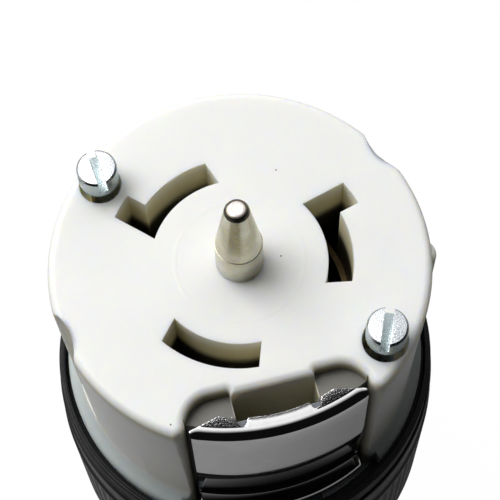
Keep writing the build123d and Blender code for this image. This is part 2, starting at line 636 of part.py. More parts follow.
def make_cord_grommet():
    """Rubber sleeve held between the clamp halves."""
    flange_top = NECK_BASE - CLAMP_SPIGOT_LENGTH - GROMMET_FLANGE
    flange = tube(GROMMET_FLANGE_RADIUS, CORD_RADIUS, flange_top, flange_top + GROMMET_FLANGE)
    sleeve = tube(GROMMET_RADIUS, CORD_RADIUS, flange_top + GROMMET_FLANGE, REAR_DEPTH - GROMMET_SETBACK)
    return flange + sleeve


def make_cord_clamp(side):
    """Half of the cord clamp: a half shell with two ears and a spigot in the neck."""
    spigot_top = NECK_BASE - CLAMP_SPIGOT_LENGTH
    spigot_radius = NECK_BORE - FIT_CLEARANCE
    shell = prism(Circle(CLAMP_RADIUS), NECK_BASE, REAR_DEPTH)
    ear_width = 2 * CLAMP_EAR_REACH
    ears = prism(
        Rectangle(ear_width, 2 * (CLAMP_GAP + CLAMP_EAR_THICKNESS)),
        NECK_BASE + CLAMP_EAR_MARGIN, REAR_DEPTH - CLAMP_EAR_MARGIN)
    ears = fillet(ears.edges().filter_by(Axis.Y), CLAMP_EDGE_ROUND)
    shell = chamfer(shell.edges().sort_by(Axis.Z)[0], CLAMP_RIM_BEVEL)
    bead = prism(
        Circle(NECK_BORE + NECK_GROOVE_DEPTH - FIT_CLEARANCE), NECK_GROOVE_TOP + FIT_CLEARANCE,
        NECK_GROOVE_TOP + NECK_GROOVE_WIDTH - FIT_CLEARANCE)
    whole = shell + ears + prism(Circle(spigot_radius), spigot_top, NECK_BASE) + bead
    whole -= prism(Circle(GROMMET_RADIUS), spigot_top - OVERCUT, REAR_DEPTH)
    reach = 2 * CLAMP_EAR_REACH
    half = prism(
        Pos(0, side * (CLAMP_GAP + reach / 2)) * Rectangle(2 * reach, reach), spigot_top, REAR_DEPTH)
    half = whole & half
    for x in (-CLAMP_SCREW_X, CLAMP_SCREW_X):
        half -= Pos(x, 0, clamp_screw_height()) * Rot(90, 0, 0) * Cylinder(
            CLAMP_SCREW_RADIUS + FIT_CLEARANCE, reach)
    return half


def clamp_screw_height():
    """Z of the two clamp screws, the middle of the ears."""
    return height((NECK_BASE + REAR_DEPTH) / 2)


def make_clamp_screw(side):
    """Screw across the clamp ears, its head on the front half."""
    grip = 2 * (CLAMP_GAP + CLAMP_EAR_THICKNESS)
    screw = slotted_screw(
        CLAMP_HEAD_RADIUS, CLAMP_HEAD_HEIGHT, CLAMP_SCREW_RADIUS,
        grip + CLAMP_NUT_THICKNESS + CLAMP_SCREW_TAIL, CLAMP_HEAD_HEIGHT / 2)
    seat = -(CLAMP_GAP + CLAMP_EAR_THICKNESS)
    return Pos(side * CLAMP_SCREW_X, seat, clamp_screw_height()) * Rot(90, 0, 0) * screw


def make_clamp_nut(side):
    """Nut on the far end of a clamp screw."""
    seat = CLAMP_GAP + CLAMP_EAR_THICKNESS
    nut = hex_nut(CLAMP_NUT_FLATS, CLAMP_NUT_THICKNESS, CLAMP_SCREW_RADIUS)
    return Pos(side * CLAMP_SCREW_X, seat, clamp_screw_height()) * Rot(-90, 0, 0) * nut


def all_pieces():
    """Every piece of the connector by its node name."""
    pieces = {
        "face_body": make_face_body(),
        "guide_pin": make_guide_pin(),
        "guide_pin_nut": make_guide_pin_nut(),
        "ground_clip": make_ground_clip(),
        "ground_lug": make_ground_lug(),
        "ground_screw": make_terminal_screw(GROUND_AZIMUTH),
        "ground_plate": make_pressure_plate(GROUND_AZIMUTH),
        "terminal_carrier": make_terminal_carrier(),
        "seal_ring": make_seal_ring(),
        "housing": make_housing(),
        "cord_grommet": make_cord_grommet(),
        "cord_clamp_front": make_cord_clamp(-1),
        "cord_clamp_back": make_cord_clamp(1),
    }
    for name in SLOT_AZIMUTHS:
        pieces[f"line_contact_{name}"] = make_line_contact(name)
        pieces[f"terminal_screw_{name}"] = make_terminal_screw(LUG_AZIMUTHS[name])
        pieces[f"pressure_plate_{name}"] = make_pressure_plate(LUG_AZIMUTHS[name])
    for name in SCREW_AZIMUTHS:
        pieces[f"assembly_screw_{name}"] = make_assembly_screw(name)
        pieces[f"threaded_insert_{name}"] = make_threaded_insert(name)
    for number, side in enumerate((-1, 1), start=1):
        pieces[f"clamp_screw_{number}"] = make_clamp_screw(side)
        pieces[f"clamp_nut_{number}"] = make_clamp_nut(side)
    return pieces


os.makedirs("parts", exist_ok=True)
for node, piece in all_pieces().items():
    export_step(piece, f"parts/{node}.step")
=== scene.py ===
import json
import logging
import math
from dataclasses import dataclass, field
from enum import Enum
from typing import Any, Sequence

import bmesh
import bpy
from mathutils import Matrix, Vector

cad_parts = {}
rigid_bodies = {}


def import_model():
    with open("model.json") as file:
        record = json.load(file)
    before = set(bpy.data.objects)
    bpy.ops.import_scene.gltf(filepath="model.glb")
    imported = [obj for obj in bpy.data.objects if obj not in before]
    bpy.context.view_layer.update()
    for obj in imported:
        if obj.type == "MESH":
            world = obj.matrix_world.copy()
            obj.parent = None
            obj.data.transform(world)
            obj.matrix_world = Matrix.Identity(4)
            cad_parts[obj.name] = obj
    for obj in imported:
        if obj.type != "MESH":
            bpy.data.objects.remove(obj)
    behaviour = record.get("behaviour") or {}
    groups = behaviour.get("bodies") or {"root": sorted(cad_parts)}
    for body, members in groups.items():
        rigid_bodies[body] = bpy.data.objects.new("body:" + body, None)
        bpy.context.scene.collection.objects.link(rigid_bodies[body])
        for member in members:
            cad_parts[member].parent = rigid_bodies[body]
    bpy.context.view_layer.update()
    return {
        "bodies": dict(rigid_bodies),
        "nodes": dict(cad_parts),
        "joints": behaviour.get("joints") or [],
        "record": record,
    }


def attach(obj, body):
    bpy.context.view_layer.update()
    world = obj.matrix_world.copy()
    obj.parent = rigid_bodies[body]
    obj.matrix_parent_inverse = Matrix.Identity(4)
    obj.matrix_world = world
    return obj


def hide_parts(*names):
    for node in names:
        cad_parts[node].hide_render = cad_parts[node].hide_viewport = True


# Sizes are in millimetres and azimuths in degrees about the connector's axis; meshes are made in metres.
# Depths are measured down from the contact face, which lies FACE_HEIGHT above the floor.
MM = 0.001
FACE_HEIGHT = 108.0

# Depth, above the face, at which every cutter ends, and the metres within which two points are one.
CUT_TOP = -4.0
DOUBLES = 1e-7

# Way back and way down, in shares of the radius, of the points of a small round.
ROUND_STEPS = ((0.0, 1.0), (0.08, 0.62), (0.3, 0.3), (0.62, 0.08), (1.0, 0.0))

# Shares of the way down the clip's wall and down its foot at which it has a point.
WALL_SHARES = (0.0, 0.25, 0.5, 0.75, 0.97)
FOOT_SHARES = (0.02, 0.3, 0.65, 1.0)

# Middle range of a noise value.
MIDDLE = (0.3, 0.7)

# Plan place and depth of the dark specks on the moulding.
SPECKS = ((8.88, 13.05, 0.0), (6.08, -0.84, 0.0), (-15.46, -22.08, 0.0))

log = logging.getLogger("connector")

Pair = tuple[float, float]
Triple = tuple[float, float, float]
Plan = list[Pair]


class Slot(Enum):
    """Material slots of the record."""

    WHITE_NYLON = "white_nylon"
    NICKEL = "nickel"
    CHROME_PLATE = "chrome_plate"
    ZINC_STEEL = "zinc_steel"
    BRASS = "brass"
    CARRIER_PLASTIC = "carrier_plastic"
    SEAL_RUBBER = "seal_rubber"
    BLACK_NYLON = "black_nylon"


class Lay(Enum):
    """Ways in which the fine marks of a metal finish run."""

    TURNED = "turned"
    ROLLED = "rolled"
    TUMBLED = "tumbled"


# Stretch of the marks along each axis.
LAY_STRETCH = {Lay.TURNED: (0.04, 0.04, 1.0), Lay.ROLLED: (1.0, 1.0, 0.06)}


def height(depth: float) -> float:
    """Height above the floor of a depth below the contact face."""
    return FACE_HEIGHT - depth


def level(depth: float) -> float:
    """Height above the floor of a depth, in metres."""
    return height(depth) * MM


def polar(radius: float, azimuth: float) -> Pair:
    """Plan point at a radius and azimuth."""
    return radius * math.cos(math.radians(azimuth)), radius * math.sin(math.radians(azimuth))


def azimuth_of(point: Pair) -> float:
    """Azimuth of a plan point."""
    return math.degrees(math.atan2(point[1], point[0]))


# Node trees


class Nodes:
    """Short calls for adding and joining the nodes of one tree."""

    def __init__(self, tree: bpy.types.NodeTree) -> None:
        """Keep the tree that the calls add to."""
        self.tree = tree

    def add(self, kind: str, **settings: Any) -> bpy.types.Node:
        """Add a node.

        Args:
            kind: Blender's name of the node type.
            settings: Attributes to set on the node.

        Returns:
            The new node.
        """
        node = self.tree.nodes.new(kind)
        for name, value in settings.items():
            setattr(node, name, value)
        return node

    def join(self, source: Any, target: bpy.types.NodeSocket) -> None:
        """Link a socket to an input, or set the input where the source is a plain value."""
        if isinstance(source, bpy.types.NodeSocket):
            self.tree.links.new(source, target)
        else:
            target.default_value = source

    def put(self, kind: str, inputs: dict[str | int, Any], **settings: Any) -> bpy.types.Node:
        """Add a node and join its inputs.

        Args:
            kind: Blender's name of the node type.
            inputs: Socket or value of each input, by its name or number.
            settings: Attributes to set on the node.

        Returns:
            The new node.
        """
        node = self.add(kind, **settings)
        for place, source in inputs.items():
            self.join(source, node.inputs[place])
        return node

    def math(self, operation: str, first: Any, second: Any = 0.0) -> bpy.types.NodeSocket:
        """Result of a Math node."""
        return self.put("ShaderNodeMath", {0: first, 1: second}, operation=operation).outputs[0]

    def times(self, first: Any, *others: Any) -> Any:
        """Product of sockets or numbers."""
        for other in others:
            first = self.math("MULTIPLY", first, other)
        return first

    def hypot(self, x: Any, y: Any) -> bpy.types.NodeSocket:
        """Length of a plan vector."""
        return self.math("SQRT", self.math("ADD", self.times(x, x), self.times(y, y)))

    def split(self, vector: Any) -> Any:
        """X, Y and Z of a vector."""
        return self.put("ShaderNodeSeparateXYZ", {0: vector}).outputs

    def vector(self, operation: str, first: Any, second: Any = (0.0, 0.0, 0.0)) -> Any:
        """Outputs of a Vector Math node."""
        return self.put("ShaderNodeVectorMath", {0: first, 1: second}, operation=operation).outputs

    def spread(self, value: Any, low: Any, high: Any, to_low: float = 0.0, to_high: float = 1.0,
               smooth: bool = False) -> bpy.types.NodeSocket:
        """Map a value from one range to another, held at the ends.

        Args:
            value: Socket or number to map.
            low: Value that gives to_low.
            high: Value that gives to_high.
            to_low: Start of the new range.
            to_high: End of the new range.
            smooth: Whether the step is rounded at both ends.

        Returns:
            The mapped value.
        """
        return self.put("ShaderNodeMapRange", dict(enumerate((value, low, high, to_low, to_high))),
                        interpolation_type="SMOOTHSTEP" if smooth else "LINEAR").outputs[0]


class Group(Nodes):
    """Geometry Nodes tree with a geometry and a finish among its inputs."""

    def __init__(self, name: str, sockets: dict[str, str]) -> None:
        """Make the tree.

        Args:
            name: Name of the tree.
            sockets: Kind of each further input, by its name.
        """
        super().__init__(bpy.data.node_groups.new(name, "GeometryNodeTree"))
        face = self.tree.interface
        face.new_socket("Geometry", in_out="OUTPUT", socket_type="NodeSocketGeometry")
        for label, kind in {"Geometry": "Geometry", **sockets, "Finish": "Material"}.items():
            face.new_socket(label, in_out="INPUT", socket_type=f"NodeSocket{kind}")
        self.start = self.add("NodeGroupInput").outputs

    def close(self, last: bpy.types.Node) -> bpy.types.NodeTree:
        """Realize what a node gives, coat it with the finish and return the tree."""
        real = self.put("GeometryNodeRealizeInstances", {0: last.outputs[0]})
        coat = self.put("GeometryNodeSetMaterial", {
            "Geometry": real.outputs[0], "Material": self.start["Finish"]})
        self.put("NodeGroupOutput", {0: coat.outputs[0]})
        return self.tree


def run_tree(target: bpy.types.Object, tree: bpy.types.NodeTree, inputs: dict[str, Any]) -> None:
    """Run a Geometry Nodes tree on an object and keep the result as its plain mesh.

    Args:
        target: Object whose mesh is replaced.
        tree: The tree.
        inputs: Value of each named input.
    """
    step = target.modifiers.new("tree", "NODES")
    step.node_group = tree
    for item in tree.interface.items_tree:
        if item.in_out == "INPUT" and item.name in inputs:
            step[item.identifier] = inputs[item.name]
    apply_all(target)


class Surface(Nodes):
    """Node tree of one material with a Principled shader and object coordinates."""

    def __init__(self, name: str) -> None:
        """Make the material with its shader and output."""
        self.material = bpy.data.materials.new(name)
        self.material.use_nodes = True
        super().__init__(self.material.node_tree)
        self.tree.nodes.clear()
        self.shader = self.add("ShaderNodeBsdfPrincipled")
        self.put("ShaderNodeOutputMaterial", {0: self.shader.outputs[0]})
        self.place = self.add("ShaderNodeTexCoord").outputs["Object"]

    def set(self, **values: Any) -> None:
        """Set or link shader inputs by their names, with underscores for spaces."""
        for name, value in values.items():
            self.join(value, self.shader.inputs[name.replace("_", " ")])

    def stretched(self, scale: Triple) -> bpy.types.NodeSocket:
        """Object coordinates scaled along each axis."""
        return self.vector("MULTIPLY", self.place, scale)[0]

    def noise(self, cells: Triple, place: Any = None) -> bpy.types.NodeSocket:
        """Add a noise texture.

        Args:
            cells: Cells in a millimetre, number of octaves, and share of each finer octave.
            place: Coordinates, the object's own unless given.

        Returns:
            The noise value.
        """
        per_mm, detail, rough = cells
        return self.put("ShaderNodeTexNoise", {
            "Vector": self.place if place is None else place, "Scale": per_mm / MM, "Detail": detail,
            "Roughness": rough}).outputs["Fac"]

    def blend(self, share: Any, first: Any, second: Any) -> bpy.types.NodeSocket:
        """Mix two colours by a share."""
        first, second = ((*tone, 1.0) if isinstance(tone, tuple) else tone for tone in (first, second))
        return self.put("ShaderNodeMix", {0: share, 6: first, 7: second}, data_type="RGBA").outputs[2]

    def under(self, z: Any, levels: Pair, share: float = 1.0, smooth: bool = True) -> bpy.types.NodeSocket:
        """Share that is whole below the first of two depths and nothing above the second."""
        return self.spread(z, level(levels[0]), level(levels[1]), share, 0.0, smooth)

    def within(self, reach: Any, line: Pair, smooth: bool = False) -> bpy.types.NodeSocket:
        """Share that is whole inside the first of two distances and nothing outside the second."""
        return self.spread(reach, line[0] * MM, line[1] * MM, 1.0, 0.0, smooth)

    def bump(self, marks: Sequence[tuple[Any, float, float]], normal: Any = None) -> None:
        """Stack bumps on the shader's normal.

        Args:
            marks: Height socket, depth in millimetres and strength of each bump, coarsest first.
            normal: Normal that the stack starts from, the mesh's own unless given.
        """
        for mark, depth, strength in marks:
            node = self.put("ShaderNodeBump", {"Height": mark, "Distance": depth * MM, "Strength": strength})
            if normal is not None:
                self.join(normal, node.inputs["Normal"])
            normal = node.outputs[0]
        self.set(Normal=normal)


# Finishes


@dataclass(frozen=True)
class PaintedShades:
    """Painted shade of the white moulding in its cuts, at its foot, on its rim and on the side that lies in
    shadow.

    A pair of levels holds the depth with the whole shade and the depth with none of it.
    """

    wall_line: Pair = (26.2, 28.2)
    # Painted warm shade just inside the mouths of the cuts.
    mouth_painted_shade: Triple = (0.76, 0.71, 0.5)
    mouth_levels: Pair = (3.2, 0.2)
    # Painted shade deep in the contact slots.
    slot_painted_shade: Triple = (0.05, 0.045, 0.03)
    slot_levels: Pair = (8.8, 5.6)
    slot_reach: float = 20.6
    # Painted olive shade on the pocket walls beside the clip.
    pocket_wall_painted_shade: Triple = (0.34, 0.31, 0.16)
    low_levels: Pair = (2.5, 0.3)
    # Painted shade on the pocket shelves.
    shelf_painted_shade: Triple = (0.2, 0.195, 0.17)
    shelf_level: float = 2.6
    shelf_reach: float = 18.8
    shelf_side: float = 6.3
    # Painted blue-grey shade on the shelf behind the clip's relief holes.
    relief_painted_shade: Triple = (0.15, 0.165, 0.19)
    relief_reach: float = 22.4
    # Painted bluish shade at the foot of the wall, next to the black ring.
    foot_painted_shade: Triple = (0.56, 0.62, 0.61)
    foot_levels: Pair = (34.0, 30.5)
    foot_dull: float = 0.4
    # Painted warm shade on the rounded rim near the outer wall.
    rim_painted_shade: Triple = (0.6, 0.58, 0.4)
    rim_share: float = 0.55
    rim_levels: Pair = (1.3, 0.3)
    rim_end: Pair = (4.5, 1.8)
    # Painted shade on the side of the wall that lies in shadow.
    lee_side: Pair = (0.82, -0.57)
    lee_painted_shade: Triple = (0.08, 0.08, 0.08)
    lee_facing: Pair = (0.72, 0.97)
    lee_levels: Pair = (35.0, 8.0)
    lee_share: float = 0.68
    ring_radius: float = 9.6
    ring_line: Pair = (0.1, 0.45)
    ring_rise: float = 0.02

    def lay(self, surface: Surface, shade: Any) -> tuple[Any, Any, Any]:
        """Lay the painted shades over the colour of the moulding.

        Args:
            surface: Surface that the nodes are added to.
            shade: Colour that lies under the shades.

        Returns:
            The shaded colour, the share of the foot, and the height of the raised ring round the pin.
        """
        x, y, z = surface.split(surface.place)
        reach = surface.hypot(x, y)
        inside = surface.within(reach, self.wall_line, smooth=True)
        beside = surface.spread(reach, self.wall_line[0] * MM, self.wall_line[1] * MM, 0.0, self.rim_share)
        front = surface.math("LESS_THAN", y, -self.shelf_reach * MM)
        behind = surface.math("GREATER_THAN", y, -self.shelf_reach * MM)
        flank = surface.math("GREATER_THAN", surface.math("ABSOLUTE", x), self.shelf_side * MM)
        sunk = surface.math("LESS_THAN", z, level(self.shelf_level))
        foot = surface.under(z, self.foot_levels)
        facing = surface.math("DIVIDE", surface.math(
            "ADD", surface.times(x, self.lee_side[0]), surface.times(y, self.lee_side[1])), reach)
        near_rim = surface.spread(z, level(self.rim_end[0]), level(self.rim_end[1]), smooth=True)
        # Painted shade, laid in order: warm rim, foot, shadowed side, mouths of the cuts, pocket walls, deep
        # slots, shelves, relief holes.
        layers = (
            (surface.times(beside, surface.under(z, self.rim_levels, smooth=False), near_rim), self.rim_painted_shade),
            (foot, self.foot_painted_shade),
            (surface.times(surface.spread(facing, *self.lee_facing, smooth=True),
                           surface.under(z, self.lee_levels, self.lee_share)), self.lee_painted_shade),
            (surface.times(inside, surface.under(z, self.mouth_levels, smooth=False)), self.mouth_painted_shade),
            (surface.times(inside, front, flank, surface.under(z, self.low_levels)), self.pocket_wall_painted_shade),
            (surface.times(surface.math("LESS_THAN", reach, self.slot_reach * MM), behind,
                           surface.under(z, self.slot_levels)), self.slot_painted_shade),
            (surface.times(inside, sunk, front, flank), self.shelf_painted_shade),
            (surface.times(surface.math("SUBTRACT", 1.0, flank),
                           surface.math("LESS_THAN", y, -self.relief_reach * MM), sunk), self.relief_painted_shade))
        for share, tone in layers:
            shade = surface.blend(share, shade, tone)
        away = surface.math("ABSOLUTE", surface.math("SUBTRACT", reach, self.ring_radius * MM))
        return shade, foot, surface.within(away, self.ring_line, smooth=True)


@dataclass(frozen=True)
class PlasticFinish:
    """Moulded plastic or rubber with a soft grain, flow marks and scuffs, and painted shades where they are
    given.
    """

    name: str
    colour: Triple
    cast: Triple
    gloss: Pair = (0.3, 0.42)
    cloud_cells: Triple = (0.05, 3.0, 0.55)
    flow_cells: Triple = (0.35, 4.0, 0.6)
    flow_stretch: Triple = (1.0, 1.0, 0.35)
    flow_depth: float = 0.03
    flow_strength: float = 0.35
    grain: float = 9.0
    grain_octaves: Pair = (2.0, 0.5)
    grain_depth: float = 0.012
    grain_strength: float = 0.5
    scuff: float = 0.0
    scuff_cells: Triple = (0.8, 6.0, 0.75)
    scuff_stretch: Triple = (0.35, 1.6, 1.0)
    scuff_span: Pair = (0.62, 0.72)
    scuff_lift: Pair = (1.6, 0.02)
    depth_of_light: float = 0.0
    light_spread: Triple = (1.0, 0.8, 0.5)
    specks: tuple[Triple, ...] = ()
    speck_shade: Triple = (0.04, 0.035, 0.03)
    speck_line: Pair = (0.12, 0.2)
    speck_fray: float = 0.08
    shine: float = 0.5
    painted_shades: PaintedShades | None = None

    def material(self) -> bpy.types.Material:
        """Build the finish as a material."""
        surface = Surface(self.name)
        cloud = surface.noise(self.cloud_cells)
        flow = surface.noise(self.flow_cells, surface.stretched(self.flow_stretch))
        grain = surface.noise((self.grain, *self.grain_octaves))
        shade = surface.blend(surface.spread(cloud, *MIDDLE), self.colour, self.cast)
        gloss = surface.spread(flow, *MIDDLE, *self.gloss)
        marks = [(flow, self.flow_depth, self.flow_strength), (grain, self.grain_depth, self.grain_strength)]
        # Painted shade in the cuts, at the foot and on the shadowed side.
        if self.painted_shades is not None:
            shade, foot, ring = self.painted_shades.lay(surface, shade)
            gloss = surface.math("ADD", gloss, surface.times(foot, self.painted_shades.foot_dull))
            marks.insert(0, (ring, self.painted_shades.ring_rise, 1.0))
        if self.scuff > 0.0:
            scratch = surface.noise(self.scuff_cells, surface.stretched(self.scuff_stretch))
            paler = tuple(channel * self.scuff_lift[0] + self.scuff_lift[1] for channel in self.colour)
            shade = surface.blend(surface.spread(scratch, *self.scuff_span, 0.0, self.scuff), shade, paler)
        for x, y, depth in self.specks:
            apart = surface.vector("DISTANCE", surface.place, (x * MM, y * MM, level(depth)))["Value"]
            ragged = surface.math("ADD", apart, surface.times(grain, self.speck_fray * MM))
            shade = surface.blend(surface.within(ragged, self.speck_line), shade, self.speck_shade)
        surface.set(Base_Color=shade, Roughness=gloss, IOR=1.5, Specular_IOR_Level=self.shine)
        if self.depth_of_light > 0.0:
            surface.set(Subsurface_Weight=1.0, Subsurface_Radius=self.light_spread,
                        Subsurface_Scale=self.depth_of_light * MM)
        surface.bump(marks)
        return surface.material


@dataclass(frozen=True)
class PinPaintedReflections:
    """Painted dark reflection up the taper of the pin, and a paler face inside a painted dark band on its
    tip.
    """

    painted_reflection_streak: Triple = (0.36, 0.32, 0.19)
    azimuth: float = -112.0
    spans: Pair = (12.0, 30.0)
    rise: Pair = (-7.0, -12.0)
    share: float = 0.7
    tip_face: Triple = (0.72, 0.66, 0.63)
    tip_painted_dark_band: Triple = (0.13, 0.115, 0.09)
    tip_radii: Pair = (1.14, 1.26)
    tip_level: float = -17.1

    def lay(self, surface: Surface, tone: Any) -> bpy.types.NodeSocket:
        """Lay the painted reflection streak and the painted dark band over the tone of the pin."""
        x, y, z = surface.split(surface.place)
        # Painted dark reflection down the front of the taper.
        off = surface.math("SUBTRACT", surface.math("ARCTAN2", y, x), math.radians(self.azimuth))
        band = surface.spread(surface.math("ABSOLUTE", off), math.radians(self.spans[0]),
                              math.radians(self.spans[1]), 1.0, 0.0, smooth=True)
        rise = surface.spread(z, level(self.rise[0]), level(self.rise[1]), smooth=True)
        tone = surface.blend(surface.times(band, rise, self.share), tone, self.painted_reflection_streak)
        # Paler face and painted dark band on the tip.
        tip = surface.math("GREATER_THAN", z, level(self.tip_level))
        rim = surface.spread(surface.hypot(x, y), self.tip_radii[0] * MM, self.tip_radii[1] * MM)
        return surface.blend(tip, tone, surface.blend(rim, self.tip_face, self.tip_painted_dark_band))


@dataclass(frozen=True)
class FlangeGrain:
    """Pitted top of the clip's flange, strongest on its two tabs, which dip a little to the front."""

    cells: Triple = (5.0, 2.0, 0.6)
    depth: float = 0.06
    tab_from: float = 5.6
    tab_fade: float = 0.5
    middle_share: float = 0.05
    floor: float = 2.115
    rim_line: Pair = (23.6, 24.1)
    bend_axis: float = 7.9
    bend_line: Pair = (32.6, 32.75)
    tilt: float = 0.37

    def lay(self, surface: Surface) -> tuple[tuple[Any, float, float], Any]:
        """Bump of the pits, and normal that it starts from."""
        x, y, z = surface.split(surface.place)
        side = surface.spread(surface.math("ABSOLUTE", x), (self.tab_from - self.tab_fade) * MM,
                              self.tab_from * MM, self.middle_share, 1.0)
        back = surface.within(surface.hypot(x, y), self.rim_line)
        bend = surface.hypot(x, surface.math("SUBTRACT", y, self.bend_axis * MM))
        tabs = surface.times(
            surface.math("MAXIMUM", side, back), surface.math("GREATER_THAN", z, level(self.floor)),
            surface.within(bend, self.bend_line))
        dip = surface.put("ShaderNodeCombineXYZ", {1: surface.times(tabs, -self.tilt)}).outputs[0]
        lean = surface.vector("ADD", surface.add("ShaderNodeNewGeometry").outputs["Normal"], dip)[0]
        pits = surface.times(surface.noise(self.cells), tabs)
        return (pits, self.depth, 1.0), surface.vector("NORMALIZE", lean)[0]


@dataclass(frozen=True)
class MetalFinish:
    """Plated or bare metal with turned, rolled or tumbled marks, and where given painted shade low down and
    painted reflections on the pin.
    """

    name: str
    colour: Triple
    stain: Triple
    gloss: Pair = (0.2, 0.32)
    lay: Lay = Lay.TUMBLED
    marks: float = 6.0
    mark_octaves: Pair = (4.0, 0.6)
    mark_depth: float = 0.006
    mark_strength: float = 0.6
    stain_cells: Triple = (0.3, 4.0, 0.6)
    stain_span: Pair = (0.35, 0.7)
    # Painted shade below a level: the darker reflection on the clip under its fold, and the shaded sides of
    # the screw heads.
    lower_painted_shade: Triple | None = None
    lower_shade_levels: Pair = (-5.2, -5.5)
    pin: PinPaintedReflections | None = None
    flange: FlangeGrain | None = None

    def material(self) -> bpy.types.Material:
        """Build the finish as a material."""
        surface = Surface(self.name)
        stretch = LAY_STRETCH.get(self.lay)
        marks = surface.noise((self.marks, *self.mark_octaves),
                              surface.stretched(stretch) if stretch else None)
        cloud = surface.noise(self.stain_cells)
        tone = surface.blend(surface.spread(cloud, *self.stain_span), self.colour, self.stain)
        # Painted shade below the given levels.
        if self.lower_painted_shade is not None:
            z = surface.split(surface.place)[2]
            tone = surface.blend(surface.under(z, self.lower_shade_levels, smooth=False), tone, self.lower_painted_shade)
        if self.pin is not None:
            tone = self.pin.lay(surface, tone)
        mixed = surface.math("ADD", surface.times(marks, 0.5), surface.times(cloud, 0.5))
        surface.set(Base_Color=tone, Roughness=surface.spread(mixed, *MIDDLE, *self.gloss), Metallic=1.0)
        stack, normal = [(marks, self.mark_depth, self.mark_strength)], None
        if self.flange is not None:
            pits, normal = self.flange.lay(surface)
            stack.append(pits)
        surface.bump(stack, normal)
        return surface.material


class Finishes:
    """The finishes of the connector, one for each material slot."""

    table: dict[Slot, PlasticFinish | MetalFinish] = {
        # White nylon, with painted shade in its cuts, at its foot and on its shadowed side.
        Slot.WHITE_NYLON: PlasticFinish(
            "white_nylon", (0.85, 0.855, 0.835), (0.88, 0.885, 0.87), gloss=(0.36, 0.48),
            depth_of_light=1.5, light_spread=(1.0, 0.86, 0.55), specks=SPECKS, painted_shades=PaintedShades()),
        # Satin nickel, with painted dark reflections on the pin.
        Slot.NICKEL: MetalFinish(
            "satin_nickel", (0.6, 0.58, 0.47), (0.46, 0.43, 0.3), gloss=(0.2, 0.34), lay=Lay.TURNED,
            marks=14.0, mark_depth=0.004, pin=PinPaintedReflections()),
        # Chrome, with painted dark reflection on the clip below its fold.
        Slot.CHROME_PLATE: MetalFinish(
            "chrome_plate", (0.92, 0.92, 0.925), (0.84, 0.84, 0.85), gloss=(0.03, 0.09), lay=Lay.ROLLED,
            marks=2.5, mark_depth=0.002, lower_painted_shade=(0.36, 0.36, 0.37), lower_shade_levels=(23.0, 21.4),
            flange=FlangeGrain()),
        # Bright zinc, with painted shade on the screws below the top of the head.
        Slot.ZINC_STEEL: MetalFinish(
            "bright_zinc", (0.72, 0.75, 0.78), (0.5, 0.53, 0.56), gloss=(0.16, 0.34), marks=4.0,
            mark_depth=0.09, lower_painted_shade=(0.42, 0.49, 0.5)),
        # The brass is coloured far darker than bare brass, as painted shade for its place deep in the slots.
        Slot.BRASS: MetalFinish(
            "brass_in_painted_shade", (0.16, 0.112, 0.052), (0.07, 0.048, 0.024), gloss=(0.42, 0.6), lay=Lay.ROLLED,
            marks=4.0),
        Slot.CARRIER_PLASTIC: PlasticFinish(
            "carrier_plastic", (0.03, 0.027, 0.027), (0.045, 0.04, 0.038), gloss=(0.45, 0.6)),
        Slot.SEAL_RUBBER: PlasticFinish(
            "seal_rubber", (0.006, 0.006, 0.007), (0.011, 0.011, 0.012), gloss=(0.4, 0.55), grain=6.0,
            scuff=0.15, shine=0.2),
        Slot.BLACK_NYLON: PlasticFinish(
            "black_nylon", (0.005, 0.005, 0.006), (0.009, 0.009, 0.011), gloss=(0.22, 0.34), grain=7.0,
            grain_depth=0.008, scuff=0.1, shine=0.28),
    }

    def __init__(self) -> None:
        """Build every material once."""
        self.made = {slot: finish.material() for slot, finish in self.table.items()}

    def of(self, slot: Slot) -> bpy.types.Material:
        """Material of a slot."""
        return self.made[slot]


# Mesh tools


def rounded(points: Sequence[Triple], steps: int) -> Plan:
    """Round the corners of a line.

    Args:
        points: First coordinate, second coordinate and corner radius of each point.
        steps: Number of runs along each round.

    Returns:
        The points of the rounded line.
    """
    line: Plan = []
    for place, (x, y, radius) in enumerate(points):
        if radius <= 0.0 or place in (0, len(points) - 1):
            line.append((x, y))
            continue
        corner = Vector((x, y))
        before = (Vector(points[place - 1][:2]) - corner).normalized()
        after = (Vector(points[place + 1][:2]) - corner).normalized()
        half = before.angle(after) / 2
        centre = corner + (before + after).normalized() * (radius / math.sin(half))
        start = corner + before * (radius / math.tan(half)) - centre
        end = corner + after * (radius / math.tan(half)) - centre
        turn = start.angle_signed(end)
        for step in range(steps + 1):
            arm = start.copy()
            arm.rotate(Matrix.Rotation(-turn * step / steps, 2))
            line.append(tuple(centre + arm))
    return line


def new_object(name: str, mesh: bpy.types.Mesh) -> bpy.types.Object:
    """Object of a mesh, linked to the scene."""
    made = bpy.data.objects.new(name, mesh)
    bpy.context.scene.collection.objects.link(made)
    return made


def solid(name: str, form: bmesh.types.BMesh) -> bpy.types.Object:
    """Object of a form with its doubles merged and its faces outwards; the form is freed."""
    bmesh.ops.remove_doubles(form, verts=form.verts, dist=DOUBLES)
    bmesh.ops.recalc_face_normals(form, faces=form.faces)
    mesh = bpy.data.meshes.new(name)
    form.to_mesh(mesh)
    form.free()
    return new_object(name, mesh)


def smooth(mesh: bpy.types.Mesh, angle: float) -> None:
    """Shade a mesh smooth, apart from edges sharper than an angle."""
    mesh.shade_smooth()
    mesh.set_sharp_from_angle(angle=math.radians(angle))


def profile(points: Sequence[Triple], steps: int) -> Plan:
    """Rounded outline from the radius, depth and corner radius of each point."""
    return rounded([(radius, height(depth), corner) for radius, depth, corner in points], steps)


def strip(form: bmesh.types.BMesh, first: Sequence[Any], second: Sequence[Any]) -> None:
    """Join two open lines of points by faces."""
    for a, b, c, d in zip(first, first[1:], second[1:], second):
        form.faces.new((a, b, c, d))


